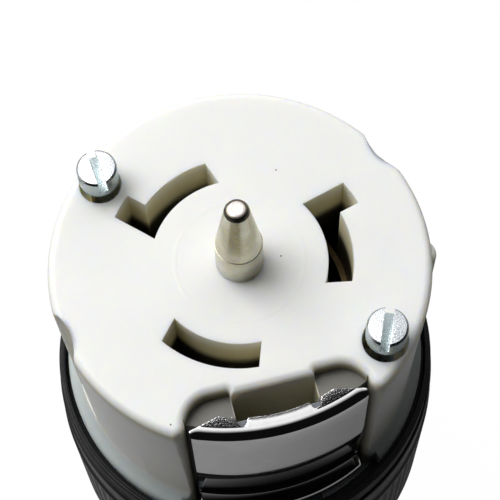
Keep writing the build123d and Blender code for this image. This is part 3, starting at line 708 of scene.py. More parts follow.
def band(form: bmesh.types.BMesh, lower: Sequence[Any], upper: Sequence[Any]) -> None:
    """Join two closed rings of points by faces; a ring may be one point repeated."""
    for step in range(len(lower)):
        after = (step + 1) % len(lower)
        corners = list(dict.fromkeys((lower[step], lower[after], upper[after], upper[step])))
        if len(corners) > 2:
            form.faces.new(corners)


def turned(name: str, outline: Sequence[Pair], segments: int,
           angle: float | None = None) -> bpy.types.Object:
    """Solid turned about the axis.

    Args:
        name: Name of the solid.
        outline: Radius and height of each point; the last one joins the first.
        segments: Number of runs round the axis.
        angle: Angle above which an edge stays sharp; the solid is left unshaded without one.

    Returns:
        The turned solid.
    """
    form = bmesh.new()
    rings = []
    for radius, up in outline:
        if radius == 0.0:
            rings.append([form.verts.new((0.0, 0.0, up * MM))] * segments)
            continue
        rings.append([
            form.verts.new((radius * MM * math.cos(turn), radius * MM * math.sin(turn), up * MM))
            for turn in (math.tau * step / segments for step in range(segments))])
    for lower, upper in zip(rings, rings[1:] + rings[:1]):
        band(form, lower, upper)
    made = solid(name, form)
    if angle is not None:
        smooth(made.data, angle)
    return made


def stacked(name: str, rings: Sequence[tuple[Sequence[Pair], float]]) -> bpy.types.Object:
    """Solid between outlines that lie one above the other.

    Args:
        name: Name of the solid.
        rings: Plan outline and depth of each ring, the lowest first.

    Returns:
        The solid.
    """
    form = bmesh.new()
    made = [[form.verts.new((x * MM, y * MM, level(depth))) for x, y in plan] for plan, depth in rings]
    form.faces.new(made[0][::-1])
    form.faces.new(made[-1])
    for lower, upper in zip(made, made[1:]):
        band(form, lower, upper)
    return solid(name, form)


def upright(name: str, plan: Sequence[Pair], top: float, base: float) -> bpy.types.Object:
    """Solid with a plan outline between two depths."""
    return stacked(name, ((plan, base), (plan, top)))


def oblong(half: float, near: float, far: float) -> Plan:
    """Plan outline of a rectangle with a half width, between two plan Y."""
    return [(-half, near), (half, near), (half, far), (-half, far)]


def mirrored(plan: Sequence[Pair]) -> Plan:
    """Plan line mirrored in X, with its points in reverse."""
    return [(-x, y) for x, y in reversed(plan)]


def spun(plan: Sequence[Pair], azimuth: float) -> Plan:
    """Plan outline turned about the axis."""
    spin = Matrix.Rotation(math.radians(azimuth), 2)
    return [tuple(spin @ Vector(point)) for point in plan]


def widened(plan: Sequence[Pair], by: float) -> Plan:
    """Move a closed outline outwards all round.

    Args:
        plan: Outline points, running anticlockwise.
        by: Distance to move it.

    Returns:
        The wider outline.
    """
    wider: Plan = []
    for place, point in enumerate(plan):
        here = Vector(point)
        before = (here - Vector(plan[place - 1])).normalized()
        after = (Vector(plan[(place + 1) % len(plan)]) - here).normalized()
        first, second = Vector((before.y, -before.x)), Vector((after.y, -after.x))
        wider.append(tuple(here + (first + second) * (by / (1.0 + first.dot(second)))))
    return wider


def mouth(name: str, plan: Sequence[Pair], base: float, rim: float, steps: int = 6) -> bpy.types.Object:
    """Cutter for a recess whose rim is rounded over at the face.

    Args:
        name: Name of the cutter.
        plan: Outline of the recess, running anticlockwise.
        base: Depth of its floor.
        rim: Radius of the rounded rim.
        steps: Number of runs down the round.

    Returns:
        The cutter.
    """
    turns = [math.pi / 2 * step / steps for step in range(steps + 1)]
    rounds = [(rim * (1 - math.sin(turn)), rim * (1 - math.cos(turn))) for turn in turns]
    return stacked(name, [
        (widened(plan, by), depth) for depth, by in [(base, 0.0), *rounds, (CUT_TOP, rim)]])


def disc(radius: float, centre: Pair, count: int) -> Plan:
    """Plan circle about a centre."""
    return [(centre[0] + radius * math.cos(math.tau * step / count),
             centre[1] + radius * math.sin(math.tau * step / count)) for step in range(count)]


def arc(radius: float, start: float, end: float, count: int, centre: Pair = (0.0, 0.0)) -> Plan:
    """Plan arc between two azimuths, ends included."""
    points = (polar(radius, start + (end - start) * step / count) for step in range(count + 1))
    return [(centre[0] + x, centre[1] + y) for x, y in points]


def evaluated(source: bpy.types.Object) -> bpy.types.Mesh:
    """Plain mesh of an object with its modifiers applied."""
    graph = bpy.context.evaluated_depsgraph_get()
    return bpy.data.meshes.new_from_object(source.evaluated_get(graph))


def apply_all(target: bpy.types.Object) -> None:
    """Apply an object's modifiers to its mesh."""
    made = evaluated(target)
    target.modifiers.clear()
    old, target.data = target.data, made
    bpy.data.meshes.remove(old)


def combine(target: bpy.types.Object, others: Sequence[bpy.types.Object],
            operation: str = "DIFFERENCE") -> None:
    """Cut other solids from a solid, or add them to it, and remove them.

    Args:
        target: Solid that is changed.
        others: Solids that are used up.
        operation: DIFFERENCE or UNION.
    """
    for other in others:
        step = target.modifiers.new("combine", "BOOLEAN")
        step.operation = operation
        step.solver = "EXACT"
        step.object = other
        apply_all(target)
        bpy.data.objects.remove(other)


def bevelled(target: bpy.types.Object, width: float, segments: int = 2, angle: float = 34.0) -> None:
    """Round the sharp edges of a solid by a width in millimetres."""
    step = target.modifiers.new("edges", "BEVEL")
    step.width = width * MM
    step.segments = segments
    step.limit_method = "ANGLE"
    step.angle_limit = math.radians(angle)
    step.harden_normals = False
    step.miter_outer = "MITER_ARC"
    apply_all(target)


def joined_flats(target: bpy.types.Object, angle: float = 0.4) -> None:
    """Merge faces of a solid that lie in one plane, to an angle in degrees."""
    form = bmesh.new()
    form.from_mesh(target.data)
    bmesh.ops.dissolve_limit(form, angle_limit=math.radians(angle), verts=form.verts, edges=form.edges)
    form.to_mesh(target.data)
    form.free()


def even_shading(target: bpy.types.Object, angle: float = 40.0) -> None:
    """Shade a solid smooth, with its large flat faces kept flat."""
    smooth(target.data, angle)
    step = target.modifiers.new("shading", "WEIGHTED_NORMAL")
    step.mode = "FACE_AREA"
    step.weight = 100
    step.keep_sharp = True
    apply_all(target)


def dress(piece: bpy.types.Object, finishes: Finishes, slot: Slot, *nodes: str) -> None:
    """Give a finished piece the material of its slot, hang it on the root body and hide the CAD nodes it
    stands for.

    Args:
        piece: The piece, in place.
        finishes: The made finishes.
        slot: Record slot of its finish.
        nodes: CAD nodes that it replaces.
    """
    piece.data.materials.clear()
    piece.data.materials.append(finishes.of(slot))
    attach(piece, "root")
    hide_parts(*nodes)
    log.info("%s: %d faces", piece.name, len(piece.data.polygons))


# Sub-assemblies


@dataclass
class FaceBody:
    """White moulded face with its slots, wells, notches and clip recess."""

    radius: float = 28.5
    rim_round: float = 1.3
    wall_depth: float = 31.0
    wall_draft: float = 0.7
    flange_radius: float = 29.6
    flange_top: float = 36.5
    flange_base: float = 39.5
    spigot_base: float = 50.0
    slot_azimuths: tuple[float, ...] = (0.0, 120.0, 240.0)
    legged: tuple[bool, ...] = (True, True, False)
    slot_radii: tuple[float, float] = (13.1, 16.85)
    slot_half_angle: float = 30.2
    end_slant: float = 10.6
    leg_slant: float = 15.5
    leg_width: float = 4.0
    leg_reach: float = 20.0
    screw_azimuths: tuple[float, ...] = (135.0, -45.0)
    screw_circle: float = 24.55
    well_radii: tuple[float, ...] = (3.2, 3.4)
    well_depth: float = 10.0
    notch_azimuths: tuple[float, ...] = (26.0, 190.5)
    notch_reach: float = 26.4
    notch_radius: float = 5.2
    notch_round: float = 1.4
    rib_azimuth: float = -10.5
    rib_reach: float = 29.25
    rib_radius: float = 2.2
    rib_top: float = 1.3
    recess_half_width: float = 13.7
    recess_back: float = 18.9
    recess_corner: float = 4.4
    recess_round: float = 1.6
    pocket_corner: float = 0.5
    shelf_depth: float = 3.0
    clip_axis: float = 7.9
    clip_back: float = 33.55
    fold_depth: float = 21.0
    foot_back: float = 32.5
    bay_half_width: float = 6.2
    bay_back: float = 19.75
    bay_depth: float = 33.0
    bay_step: float = 23.1
    bay_step_width: float = 4.6
    edge_round: float = 0.22
    rim_fall: float = 1.2
    notch_fall: float = 0.6
    rib_bevel: float = 0.7
    beyond: float = 36.0

    def blank(self) -> bpy.types.Object:
        """Turned form of the body before anything is cut from it."""
        foot = self.radius - self.wall_draft
        rim = profile(((0.0, 0.0, 0.0), (self.radius, 0.0, self.rim_round), (foot, self.wall_depth, 0.0)), 6)
        flare = [
            (foot + (self.flange_radius - foot) * share**2,
             height(self.wall_depth + (self.flange_top - self.wall_depth) * share))
            for share in (step / 8 for step in range(1, 9))]
        tail = [(self.flange_radius, height(self.flange_base)), (self.radius, height(self.flange_base)),
                (self.radius, height(self.spigot_base)), (0.0, height(self.spigot_base))]
        return turned("face_body_form", [*rim, *flare, *tail], 240)

    def along(self, start: Vector, run: Vector, radius: float) -> tuple[float, float]:
        """Point where a line from a start along a run meets a circle about the axis."""
        b = start.dot(run)
        c = start.dot(start) - radius * radius
        return tuple(start + run * (-b + math.sqrt(b * b - c)))

    def slot_plan(self, azimuth: float, legged: bool) -> Plan:
        """Plan outline of a contact slot.

        Args:
            azimuth: Azimuth of the middle of the slot.
            legged: Whether its far end has an outward leg.

        Returns:
            The outline points.
        """
        inner, outer = self.slot_radii
        near, far = (Vector(polar(inner, side * self.slot_half_angle)) for side in (-1, 1))
        low = azimuth_of(self.along(near, Vector(polar(1.0, -self.end_slant)), outer))
        run = Vector(polar(1.0, self.leg_slant if legged else self.end_slant))
        line = arc(inner, self.slot_half_angle, -self.slot_half_angle, 28)
        if legged:
            start = far + Vector((run.y, -run.x)) * self.leg_width
            back, tip = (azimuth_of(self.along(begin, run, self.leg_reach)) for begin in (start, far))
            line += arc(outer, low, azimuth_of(self.along(start, run, outer)), 22)
            line += arc(self.leg_reach, back, tip, 4)
        else:
            line += arc(outer, low, azimuth_of(self.along(far, run, outer)), 28)
        return spun(line, azimuth)

    def notch_plan(self, azimuth: float) -> Plan:
        """Plan outline of an index notch whose two rim corners are rounded over."""
        middle = self.notch_reach + self.notch_radius
        arm = self.radius - self.notch_round
        join = self.notch_radius + self.notch_round
        swing = math.degrees(math.acos((arm**2 + middle**2 - join**2) / (2 * arm * middle)))
        line: Plan = []
        for outward in (-swing, swing):
            centre = polar(arm, outward)
            inward = azimuth_of((middle - centre[0], -centre[1]))
            corner = [polar(self.beyond, outward), *arc(self.notch_round, outward, inward, 6, centre)]
            if outward > 0.0:
                line += arc(self.notch_radius, 180 - inward, 180 + inward, 16, (middle, 0.0))
                corner.reverse()
            line += corner
        return spun(line, azimuth)

    def mouth_corner(self) -> tuple[Plan, Vector, float]:
        """Rounded corner where the recess opens through the wall.

        Returns:
            Its points from outside inwards, the middle of the pocket's corner, and the azimuth at which
            they meet.
        """
        corner = self.recess_corner
        middle = Vector((self.recess_half_width - corner, -self.recess_back - corner))
        arm = self.radius - self.recess_round
        gap = corner + self.recess_round
        swing = math.acos((arm**2 + middle.length_squared - gap**2) / (2 * arm * middle.length))
        outward = math.degrees(math.atan2(middle.y, middle.x) + swing)
        centre = Vector(polar(arm, outward))
        turn = azimuth_of(middle - centre)
        start = tuple(centre + Vector(polar(self.beyond, outward)))
        return [start, *arc(self.recess_round, outward, turn, 8, tuple(centre))], middle, turn + 180.0

    def pocket_plan(self) -> Plan:
        """Plan outline of the shallow pocket at the right end of the recess."""
        points, middle, turn = self.mouth_corner()
        side, step, inner = self.bay_half_width, -self.bay_step, self.bay_step_width
        back = -self.recess_back
        inward = rounded(((middle.x, back, 0.0), (side, back, self.pocket_corner), (side, step, 0.0)), 4)
        return [*points, *arc(self.recess_corner, turn, 90.0, 8, tuple(middle))[1:], *inward[1:],
                (inner, step), (inner, -self.beyond)]

    def recess_plan(self, back: float) -> Plan:
        """Plan outline of the deep recess at one level, its back a radius about the clip's own axis."""
        right = self.mouth_corner()[0]
        limit = math.degrees(math.asin(right[-1][0] / back))
        right += arc(back, -90.0 + limit, -90.0, 16, (0.0, self.clip_axis))
        return right + mirrored(right)[1:]

    def bay_plan(self) -> Plan:
        """Plan outline of the deep bay in the middle of the recess."""
        side, step, inner = self.bay_half_width, -self.bay_step, self.bay_step_width
        right = [(inner, -self.beyond), (inner, step), (side, step), (side, -self.bay_back)]
        return right + mirrored(right)

    def cutters(self) -> list[bpy.types.Object]:
        """Everything that is cut from the blank, in order."""
        pocket = self.pocket_plan()
        return [
            *(upright("slot", self.slot_plan(azimuth, legged), CUT_TOP, self.spigot_base + 1.0)
              for azimuth, legged in zip(self.slot_azimuths, self.legged)),
            *(mouth("notch", self.notch_plan(azimuth), self.wall_depth, self.notch_fall)
              for azimuth in self.notch_azimuths),
            *(upright("well", disc(radius, polar(self.screw_circle, azimuth), 48), CUT_TOP, self.well_depth)
              for radius, azimuth in zip(self.well_radii, self.screw_azimuths)),
            mouth("right_pocket", pocket, self.shelf_depth, self.rim_fall),
            mouth("left_pocket", mirrored(pocket), self.shelf_depth, self.rim_fall),
            upright("recess_wall", self.recess_plan(self.clip_back), 0.0, self.fold_depth),
            upright("recess_foot", self.recess_plan(self.foot_back), 0.0, self.flange_base),
            mouth("bay", self.bay_plan(), self.bay_depth, self.rim_fall)]

    def build(self) -> bpy.types.Object:
        """Make the body as one closed mesh."""
        body = self.blank()
        centre = polar(self.rib_reach - self.rib_radius, self.rib_azimuth)
        rib = upright("rib", disc(self.rib_radius, centre, 40), self.rib_top, self.flange_top)
        bevelled(rib, self.rib_bevel, 4, 60.0)
        combine(body, [rib], "UNION")
        combine(body, self.cutters())
        joined_flats(body)
        bevelled(body, self.edge_round)
        even_shading(body)
        body.name = "face_body_moulding"
        return body

    def dress(self, finishes: Finishes) -> None:
        """Build the body and give it its finish."""
        dress(self.build(), finishes, Slot.WHITE_NYLON, "face_body")


@dataclass
class GuidePin:
    """Satin pin with a tapered nose and a domed tip."""

    radius: float = 3.5
    straight: float = 6.5
    length: float = 17.9
    tip_radius: float = 1.7
    shank_radius: float = 2.5
    end_depth: float = 75.5

    def dress(self, finishes: Finishes) -> None:
        """Turn the pin and give it its finish."""
        tip, top = self.tip_radius, -self.length
        line = profile((
            (0.0, self.end_depth, 0.0), (self.shank_radius, self.end_depth, 0.3),
            (self.shank_radius, 0.0, 0.0),
            (self.radius, 0.0, 0.1), (self.radius, -self.straight, 0.06),
            (self.radius - 0.1, -self.straight - 0.02, 0.05), (tip + 0.12, top + 0.75, 0.25),
            (tip - 0.15, top + 0.12, 0.3), (tip - 0.75, top, 0.3), (0.0, top + 0.02, 0.0)), 5)
        dress(turned("guide_pin_turned", line, 96, 30.0), finishes, Slot.NICKEL, "guide_pin")


@dataclass
class GroundClip:
    """Bright spring clip pressed from one sheet, its face an arc about its own axis."""

    axis: float = 7.9
    face: float = 34.6
    sheet: float = 1.0
    half_width: float = 13.1
    top_depth: float = 2.1
    bend: float = 1.6
    corner_bend: float = 0.9
    corner_from: float = 11.4
    fold_depths: tuple[float, float] = (19.8, 21.4)
    lean: float = 1.05
    foot_depth: float = 34.0
    foot_reach: float = 28.6
    flange_reach: float = 23.4
    tab_corner: float = 8.6
    tab_end: float = 12.0
    relief_x: float = 5.5
    relief_radius: float = 0.76
    relief_sink: float = 0.5
    tab_margin: float = 0.3
    flat_margin: float = 0.24
    least_bend: float = 0.12
    foot_round: float = 0.5
    half_columns: int = 44
    relief_columns: int = 14
    column_gap: float = 0.04
    edge_round: float = 0.2
    edge_bevel: float = 0.15
    tail_width: float = 8.0
    tail_end: float = 51.0
    tail_reach: float = 11.0

    def columns(self) -> list[float]:
        """Plan X of the columns of the sheet, closer together at the relief notches."""
        half, fan = self.half_columns, self.relief_columns
        plain = [self.half_width * step / half for step in range(-half, half + 1)]
        fine = [
            side * self.relief_x + self.relief_radius * math.cos(math.pi * step / fan)
            for side in (-1, 1) for step in range(fan + 1)]
        return sorted([x for x in plain if all(abs(x - near) > self.column_gap for near in fine)] + fine)

    def edge(self, x: float) -> float:
        """Plan Y of the flange's inner edge at a plan X."""
        reach = -math.sqrt(self.flange_reach**2 - x * x)
        away = abs(abs(x) - self.relief_x)
        if away < self.relief_radius:
            reach -= math.sqrt(self.relief_radius**2 - away**2) + self.relief_sink
        if abs(x) > self.tab_corner:
            start = -math.sqrt(self.flange_reach**2 - self.tab_corner**2)
            end = self.at(self.face - self.bend_at(self.tab_end), self.tab_end) + self.tab_margin
            share = (abs(x) - self.tab_corner) / (self.tab_end - self.tab_corner)
            reach = min(reach, start + (end - start) * share)
        return max(reach, self.at(self.face - self.bend_at(x), x) + self.flat_margin)

    def bend_at(self, x: float) -> float:
        """Radius of the top bend at a plan X, smaller toward both ends."""
        share = min(1.0, max(0.0, (abs(x) - self.corner_from) / (self.half_width - self.corner_from)))
        return self.bend + (self.corner_bend - self.bend) * share * share

    def at(self, rho: float, x: float) -> float:
        """Plan Y at a radius about the clip's axis."""
        return self.axis - math.sqrt(rho * rho - x * x)

    def section(self, x: float, inset: float) -> list[tuple[float, float]]:
        """Side section of the sheet at a plan X.

        Args:
            x: Plan X of the column.
            inset: Distance in from the outer surface.

        Returns:
            Plan Y and depth of each point, from the flange's inner edge to the foot's outer edge.
        """
        rho = self.face - inset
        bend = max(self.bend_at(x) - inset, self.least_bend)
        side, middle = self.fold_depths
        fold = middle + (side - middle) * abs(x) / self.half_width
        top = self.top_depth + inset
        edge, rim, last = self.edge(x), self.edge_round, self.at(rho - bend, x)
        points = [(edge - rim * back, top + rim * down) for back, down in ROUND_STEPS]
        points += [((edge - rim + last) / 2, top), (last, top)]
        for step in range(1, 8):
            turn = math.pi / 2 * step / 8
            points.append((self.at(rho - bend * (1 - math.sin(turn)), x),
                           top + bend * (1 - math.cos(turn))))
        points += [(self.at(rho, x), top + bend + (fold - top - bend) * share)
                   for share in WALL_SHARES]
        foot_round = self.foot_round + inset
        foot = self.foot_depth + inset
        points += [
            (self.at(rho - self.lean * share, x), fold + (foot - foot_round - fold) * share)
            for share in FOOT_SHARES]
        foot_rim = -math.sqrt(self.foot_reach**2 - x * x)
        start = self.at(rho - self.lean, x)
        for step in range(1, 6):
            turn = math.pi / 2 * step / 5
            points.append((start - foot_round * (1 - math.cos(turn)),
                           foot - foot_round * (1 - math.sin(turn))))
        return [*points, (min((start - foot_round + foot_rim) / 2, foot_rim + 0.4), foot), (foot_rim, foot)]

    def sheet_form(self) -> bmesh.types.BMesh:
        """Closed form of the sheet, between its outer and inner skins."""
        form = bmesh.new()
        outer, inner = ([
            [form.verts.new((x * MM, y * MM, level(depth))) for y, depth in self.section(x, inset)]
            for x in self.columns()] for inset in (0.0, self.sheet))
        for rows in (outer, inner):
            for left, right in zip(rows, rows[1:]):
                strip(form, left, right)
        for end in (0, -1):
            strip(form, [row[end] for row in outer], [row[end] for row in inner])
            strip(form, outer[end], inner[end])
        return form

    def build(self) -> bpy.types.Object:
        """Make the sheet and its tail as one mesh."""
        clip = solid("ground_clip_pressing", self.sheet_form())
        back = self.at(self.face - self.lean, 0.0)
        half = self.tail_width / 2
        tail = upright("tail", oblong(half, back, back + self.sheet), self.foot_depth + self.sheet * 0.5,
                       self.tail_end)
        tab = upright("tab", oblong(half, back + self.sheet, -self.tail_reach), self.tail_end - self.sheet,
                      self.tail_end)
        combine(clip, [tail, tab], "UNION")
        bevelled(clip, self.edge_bevel, 2, 50.0)
        smooth(clip.data, 24.0)
        return clip

    def dress(self, finishes: Finishes) -> None:
        """Build the clip and give it its finish."""
        dress(self.build(), finishes, Slot.CHROME_PLATE, "ground_clip")


@dataclass
class Grip:
    """Black housing whose flutes are pressed into a turned sleeve by Geometry Nodes."""

    radius: float = 32.2
    bore: float = 28.7
    rim_depth: float = 42.0
    rim_round: float = 0.7
    rim_set: float = 0.4
    flute_count: int = 96
    flute_depth: float = 0.55
    flute_top: float = 50.3
    flute_base: float = 73.6
    flute_fade: float = 0.9
    flute_roundness: float = 0.7
    wall_margin: float = 0.2
    row_gap: float = 0.15
    grip_end: float = 78.0
    shoulder_base: float = 90.0
    shoulder_round: float = 9.0
    neck_radius: float = 20.0
    neck_base: float = 96.0
    neck_bore: float = 14.5
    carrier_base: float = 70.0
    ledge_radius: float = 25.0
    cone_top: float = 78.5
    cone_base: float = 86.0

    def outline(self) -> Plan:
        """Turned outline, with close rows at both ends of the flutes."""
        rim = self.radius - self.rim_set
        shell = profile((
            (self.bore, self.rim_depth, 0.0), (rim, self.rim_depth, self.rim_round),
            (rim, self.flute_top - 1.6, 0.2), (self.radius, self.flute_top - 1.0, 0.2),
            (self.radius, self.flute_top - 0.6, 0.0)), 5)
        close = [step * self.row_gap for step in range(13)]
        rows = [*(self.flute_top - 0.3 + depth for depth in close), 54.0, 58.0, 62.0, 66.0, 70.0,
                *(self.flute_base - 1.5 + depth for depth in close)]
        shell += [(self.radius, height(depth)) for depth in rows]
        shell += profile((
            (self.radius, self.flute_base + 0.5, 0.0), (self.radius, self.grip_end, self.shoulder_round),
            (self.neck_radius, self.shoulder_base, 1.2), (self.neck_radius, self.neck_base, 0.5),
            (self.neck_bore, self.neck_base, 0.0)), 8)
        return shell + [
            (self.neck_bore, height(self.cone_base)), (self.ledge_radius, height(self.cone_top)),
            (self.ledge_radius, height(self.carrier_base)), (self.bore, height(self.carrier_base))]

    def flute_tree(self) -> bpy.types.NodeTree:
        """Geometry Nodes tree that presses rounded flutes into an upright sleeve."""
        sizes = ("Flute Depth", "Flute Top", "Flute Base", "Flute Fade", "Wall Radius")
        group = Group("pressed_flutes", {"Flute Count": "Int", **dict.fromkeys(sizes, "Float")})
        depth, top, base, fade, wall = (group.start[name] for name in sizes)
        x, y, z = group.split(group.add("GeometryNodeInputPosition").outputs[0])
        wave = group.math("COSINE", group.times(group.math("ARCTAN2", y, x), group.start["Flute Count"]))
        groove = group.math("POWER", group.math("MAXIMUM", wave, 0.0), self.flute_roundness)
        low_end = group.spread(z, base, group.math("ADD", base, fade), smooth=True)
        high_end = group.spread(z, group.math("SUBTRACT", top, fade), top, 1.0, 0.0, smooth=True)
        sunk = group.times(group.times(low_end, high_end), group.times(groove, depth))
        reach = group.hypot(x, y)
        share = group.math("DIVIDE", sunk, reach)
        offset = group.put("ShaderNodeCombineXYZ", {
            0: group.times(x, share, -1.0), 1: group.times(y, share, -1.0)})
        press = group.put("GeometryNodeSetPosition", {
            "Geometry": group.start["Geometry"], "Selection": group.math("GREATER_THAN", reach, wall),
            "Offset": offset.outputs[0]})
        return group.close(press)

    def dress(self, finishes: Finishes) -> None:
        """Turn the sleeve, press the flutes and give it its finish."""
        sleeve = turned("grip_sleeve", self.outline(), self.flute_count * 10)
        run_tree(sleeve, self.flute_tree(), {
            "Flute Count": self.flute_count, "Flute Depth": self.flute_depth * MM,
            "Flute Top": level(self.flute_top), "Flute Base": level(self.flute_base),
            "Flute Fade": self.flute_fade * MM, "Wall Radius": (self.radius - self.wall_margin) * MM,
            "Finish": finishes.of(Slot.BLACK_NYLON)})
        smooth(sleeve.data, 32.0)
        dress(sleeve, finishes, Slot.BLACK_NYLON, "housing")


@dataclass
class SealRing:
    """Black ring between the white foot and the grip, with fine turned steps."""

    radius: float = 31.3
    lip_radius: float = 30.25
    bore: float = 28.6
    lip_top: float = 37.0
    flange_base: float = 39.5
    rim_depth: float = 42.0
    step_down: float = 0.25

    def dress(self, finishes: Finishes) -> None:
        """Turn the ring and give it its finish."""
        lip, top = self.lip_radius, self.lip_top
        line = profile((
            (self.bore, self.rim_depth, 0.0), (self.bore, self.flange_base, 0.0),
            (lip, self.flange_base, 0.1), (lip, top, 0.25), (lip + 0.5, top - 0.02, 0.1),
            (lip + 0.55, top + self.step_down, 0.08), (self.radius, top + self.step_down, 0.3),
            (self.radius, self.rim_depth, 0.0)), 4)
        dress(turned("seal_ring_turned", line, 240, 30.0), finishes, Slot.SEAL_RUBBER, "seal_ring")


@dataclass
class Screws:
    """Slotted screws, set in place by Geometry Nodes."""

    circle: float = 24.55
    azimuths: tuple[float, ...] = (135.0, -45.0)
    turns: tuple[float, ...] = (96.0, 67.0)
    head_radius: float = 3.0
    head_height: float = 3.8
    stand: float = 1.8
    shank_radius: float = 1.75
    length: float = 65.4
    slot_width: float = 1.35
    slot_depth: float = 2.4
    bevel: float = 0.3
    slot_bevel: float = 0.06

    def one(self) -> bpy.types.Object:
        """Slotted screw with a bevelled flat head, its seat at the origin."""
        line = rounded((
            (0.0, -self.length, 0.0), (self.shank_radius, -self.length, 0.3), (self.shank_radius, 0.0, 0.0),
            (self.head_radius, 0.0, 0.15), (self.head_radius, self.head_height - self.bevel, 0.08),
            (self.head_radius - self.bevel, self.head_height, 0.08), (0.0, self.head_height + 0.001, 0.0)), 3)
        screw = turned("screw_form", line, 72)
        half, top = self.slot_width / 2, FACE_HEIGHT - self.head_height
        slot = upright("screw_slot", oblong(self.head_radius + 2.0, -half, half), top - 1.0,
                       top + self.slot_depth)
        combine(screw, [slot])
        joined_flats(screw)
        bevelled(screw, self.slot_bevel, 2, 40.0)
        smooth(screw.data, 30.0)
        return screw

    def place_tree(self) -> bpy.types.NodeTree:
        """Geometry Nodes tree that sets one screw on each point, turned by the point's own angle."""
        group = Group("set_screws", {"Screw": "Object", "Screw Scale": "Float"})
        info = group.put("GeometryNodeObjectInfo", {"Object": group.start["Screw"]})
        turn = group.put("GeometryNodeInputNamedAttribute", {"Name": "slot_turn"}, data_type="FLOAT")
        spin = group.put("ShaderNodeCombineXYZ", {2: turn.outputs["Attribute"]})
        rotation = group.put("FunctionNodeEulerToRotation", {0: spin.outputs[0]})
        sized = group.put("ShaderNodeCombineXYZ", dict.fromkeys(range(3), group.start["Screw Scale"]))
        points = group.put("GeometryNodeMeshToPoints", {"Mesh": group.start["Geometry"]})
        return group.close(group.put("GeometryNodeInstanceOnPoints", {
            "Points": points.outputs[0], "Instance": info.outputs["Geometry"],
            "Rotation": rotation.outputs[0], "Scale": sized.outputs[0]}))

    def dress(self, finishes: Finishes) -> None:
        """Set the face screws and give them their finish."""
        mesh = bpy.data.meshes.new("face_screws")
        seats = [(*polar(self.circle, azimuth), height(-self.stand)) for azimuth in self.azimuths]
        mesh.from_pydata([tuple(value * MM for value in seat) for seat in seats], [], [])
        layer = mesh.attributes.new("slot_turn", "FLOAT", "POINT")
        for point, turn in zip(layer.data, self.turns):
            point.value = math.radians(turn)
        screws = new_object("face_screws", mesh)
        screw = self.one()
        run_tree(screws, self.place_tree(), {
            "Screw": screw, "Screw Scale": 1.0, "Finish": finishes.of(Slot.ZINC_STEEL)})
        bpy.data.objects.remove(screw)
        smooth(screws.data, 30.0)
        dress(screws, finishes, Slot.ZINC_STEEL, "assembly_screw_1", "assembly_screw_2")


@dataclass
class CarriedNodes:
    """CAD nodes that keep their own mesh and get a finish."""

    slots: dict[str, Slot] = field(default_factory=dict)

    def dress(self, nodes: dict[str, bpy.types.Object], finishes: Finishes, record: dict[str, Any]) -> None:
        """Give every CAD node the finish of its slot in the record."""
        self.slots = {entry["node"]: Slot(entry["material_slot"]) for entry in record["subparts"]}
        for name, node in nodes.items():
            material = finishes.of(self.slots[name])
            for place in node.material_slots:
                place.material = material
            log.info("%s: %s", name, material.name)


# Studio


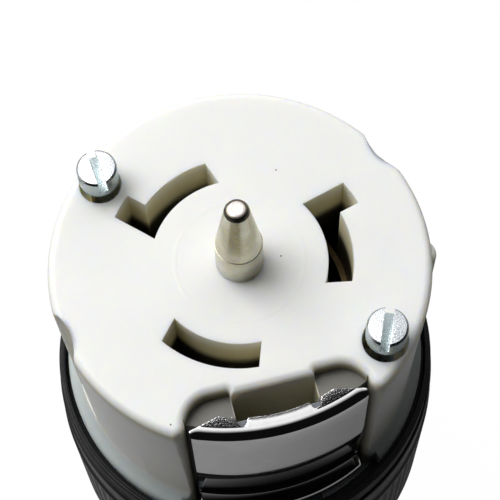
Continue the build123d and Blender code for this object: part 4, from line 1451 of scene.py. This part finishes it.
@dataclass
class Studio:
    """Camera, floor, backdrop and soft lights."""

    camera_place: tuple[float, float, float] = (-17.536, -91.927, 325.637)
    sight: tuple[float, float, float] = (0.08178, 0.39220, -0.91624)
    roll: float = -2.42
    lens: float = 115.76
    sensor: float = 36.0
    floor_size: float = 3.0
    floor_front: float = 0.3
    floor_tone: float = 0.28
    floor_strength: float = 1.09
    floor_glow: Pair = (0.9, 0.04)
    bright_side: Triple = (-0.25, 0.9, 0.1)
    world_turn: Pair = (-0.15, 0.35)
    world_range: Pair = (0.004, 1.0)
    lamp_place: Triple = (-0.34, 0.3, 0.85)
    lamp_size: float = 0.55
    lamp_power: float = 5.0

    def camera(self) -> None:
        """Make the camera at the photograph's angle."""
        data = bpy.data.cameras.new("camera")
        data.lens = self.lens
        data.sensor_width = self.sensor
        data.sensor_fit = "HORIZONTAL"
        data.clip_start = 0.01
        data.clip_end = 50.0
        sight = Vector(self.sight).normalized()
        right = sight.cross(Vector((0.0, 0.0, 1.0))).normalized()
        up = right.cross(sight)
        turn = math.radians(self.roll)
        across = right * math.cos(turn) + up * math.sin(turn)
        upward = up * math.cos(turn) - right * math.sin(turn)
        frame = Matrix((across, upward, -sight)).transposed().to_4x4()
        frame.translation = Vector(self.camera_place) * MM
        camera = bpy.data.objects.new("camera", data)
        camera.matrix_world = frame
        bpy.context.scene.collection.objects.link(camera)
        bpy.context.scene.camera = camera

    def floor(self) -> None:
        """Lay a plain pale floor that shows white and keeps a soft shadow."""
        half = self.floor_size / 2
        mesh = bpy.data.meshes.new("floor")
        mesh.from_pydata([(x, y, 0.0) for x, y in oblong(half, -self.floor_front, half)], [], [(0, 1, 2, 3)])
        floor = new_object("floor", mesh)
        material = bpy.data.materials.new("floor_paper")
        material.use_nodes = True
        nodes = Nodes(material.node_tree)
        nodes.tree.nodes.clear()
        matt = nodes.put("ShaderNodeBsdfDiffuse", {"Color": (*[self.floor_tone] * 3, 1.0)})
        glow = nodes.put("ShaderNodeEmission", {"Strength": self.floor_strength})
        seen = nodes.add("ShaderNodeLightPath").outputs
        direct = nodes.math("MAXIMUM", seen["Is Camera Ray"], seen["Is Transmission Ray"])
        shown = nodes.math("MAXIMUM", nodes.times(direct, self.floor_glow[0]),
                           nodes.times(seen["Is Glossy Ray"], self.floor_glow[1]))
        mix = nodes.put("ShaderNodeMixShader", {0: shown, 1: matt.outputs[0], 2: glow.outputs[0]})
        nodes.put("ShaderNodeOutputMaterial", {0: mix.outputs[0]})
        mesh.materials.append(material)

    def world(self) -> None:
        """Surround the set with soft light, darker behind the camera, that the camera sees as white."""
        world = bpy.data.worlds.new("studio")
        world.use_nodes = True
        bpy.context.scene.world = world
        nodes = Nodes(world.node_tree)
        nodes.tree.nodes.clear()
        way = nodes.add("ShaderNodeTexCoord").outputs["Generated"]
        aim = nodes.vector("DOT_PRODUCT", way, self.bright_side)
        strength = nodes.spread(aim["Value"], *self.world_turn, *self.world_range, smooth=True)
        soft, white = (
            nodes.put("ShaderNodeBackground", {"Color": (1.0, 1.0, 1.0, 1.0), "Strength": power})
            for power in (strength, 1.0))
        mix = nodes.put("ShaderNodeMixShader", {
            0: nodes.add("ShaderNodeLightPath").outputs["Is Camera Ray"], 1: soft.outputs[0],
            2: white.outputs[0]})
        nodes.put("ShaderNodeOutputWorld", {0: mix.outputs[0]})

    def lamp(self) -> None:
        """Hang a soft square lamp that looks at the face."""
        data = bpy.data.lights.new("key_lamp", "AREA")
        data.energy = self.lamp_power
        data.size = self.lamp_size
        lamp = bpy.data.objects.new("key_lamp", data)
        lamp.location = self.lamp_place
        aim = Vector((0.0, 0.0, FACE_HEIGHT * MM)) - lamp.location
        lamp.rotation_euler = aim.to_track_quat("-Z", "Y").to_euler()
        bpy.context.scene.collection.objects.link(lamp)

    def build(self) -> None:
        """Set up the whole studio."""
        self.camera()
        self.floor()
        self.world()
        self.lamp()
        bpy.context.scene.view_settings.view_transform = "Standard"


def main() -> None:
    """Load the frame, build the sub-assemblies in order and note the sizes."""
    logging.basicConfig(level=logging.INFO, format="%(name)s: %(message)s")
    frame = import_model()
    Studio().build()
    finishes = Finishes()
    CarriedNodes().dress(frame["nodes"], finishes, frame["record"])
    for assembly in (FaceBody(), GuidePin(), GroundClip(), Screws(), SealRing(), Grip()):
        assembly.dress(finishes)


if __name__ == "__main__":
    main()
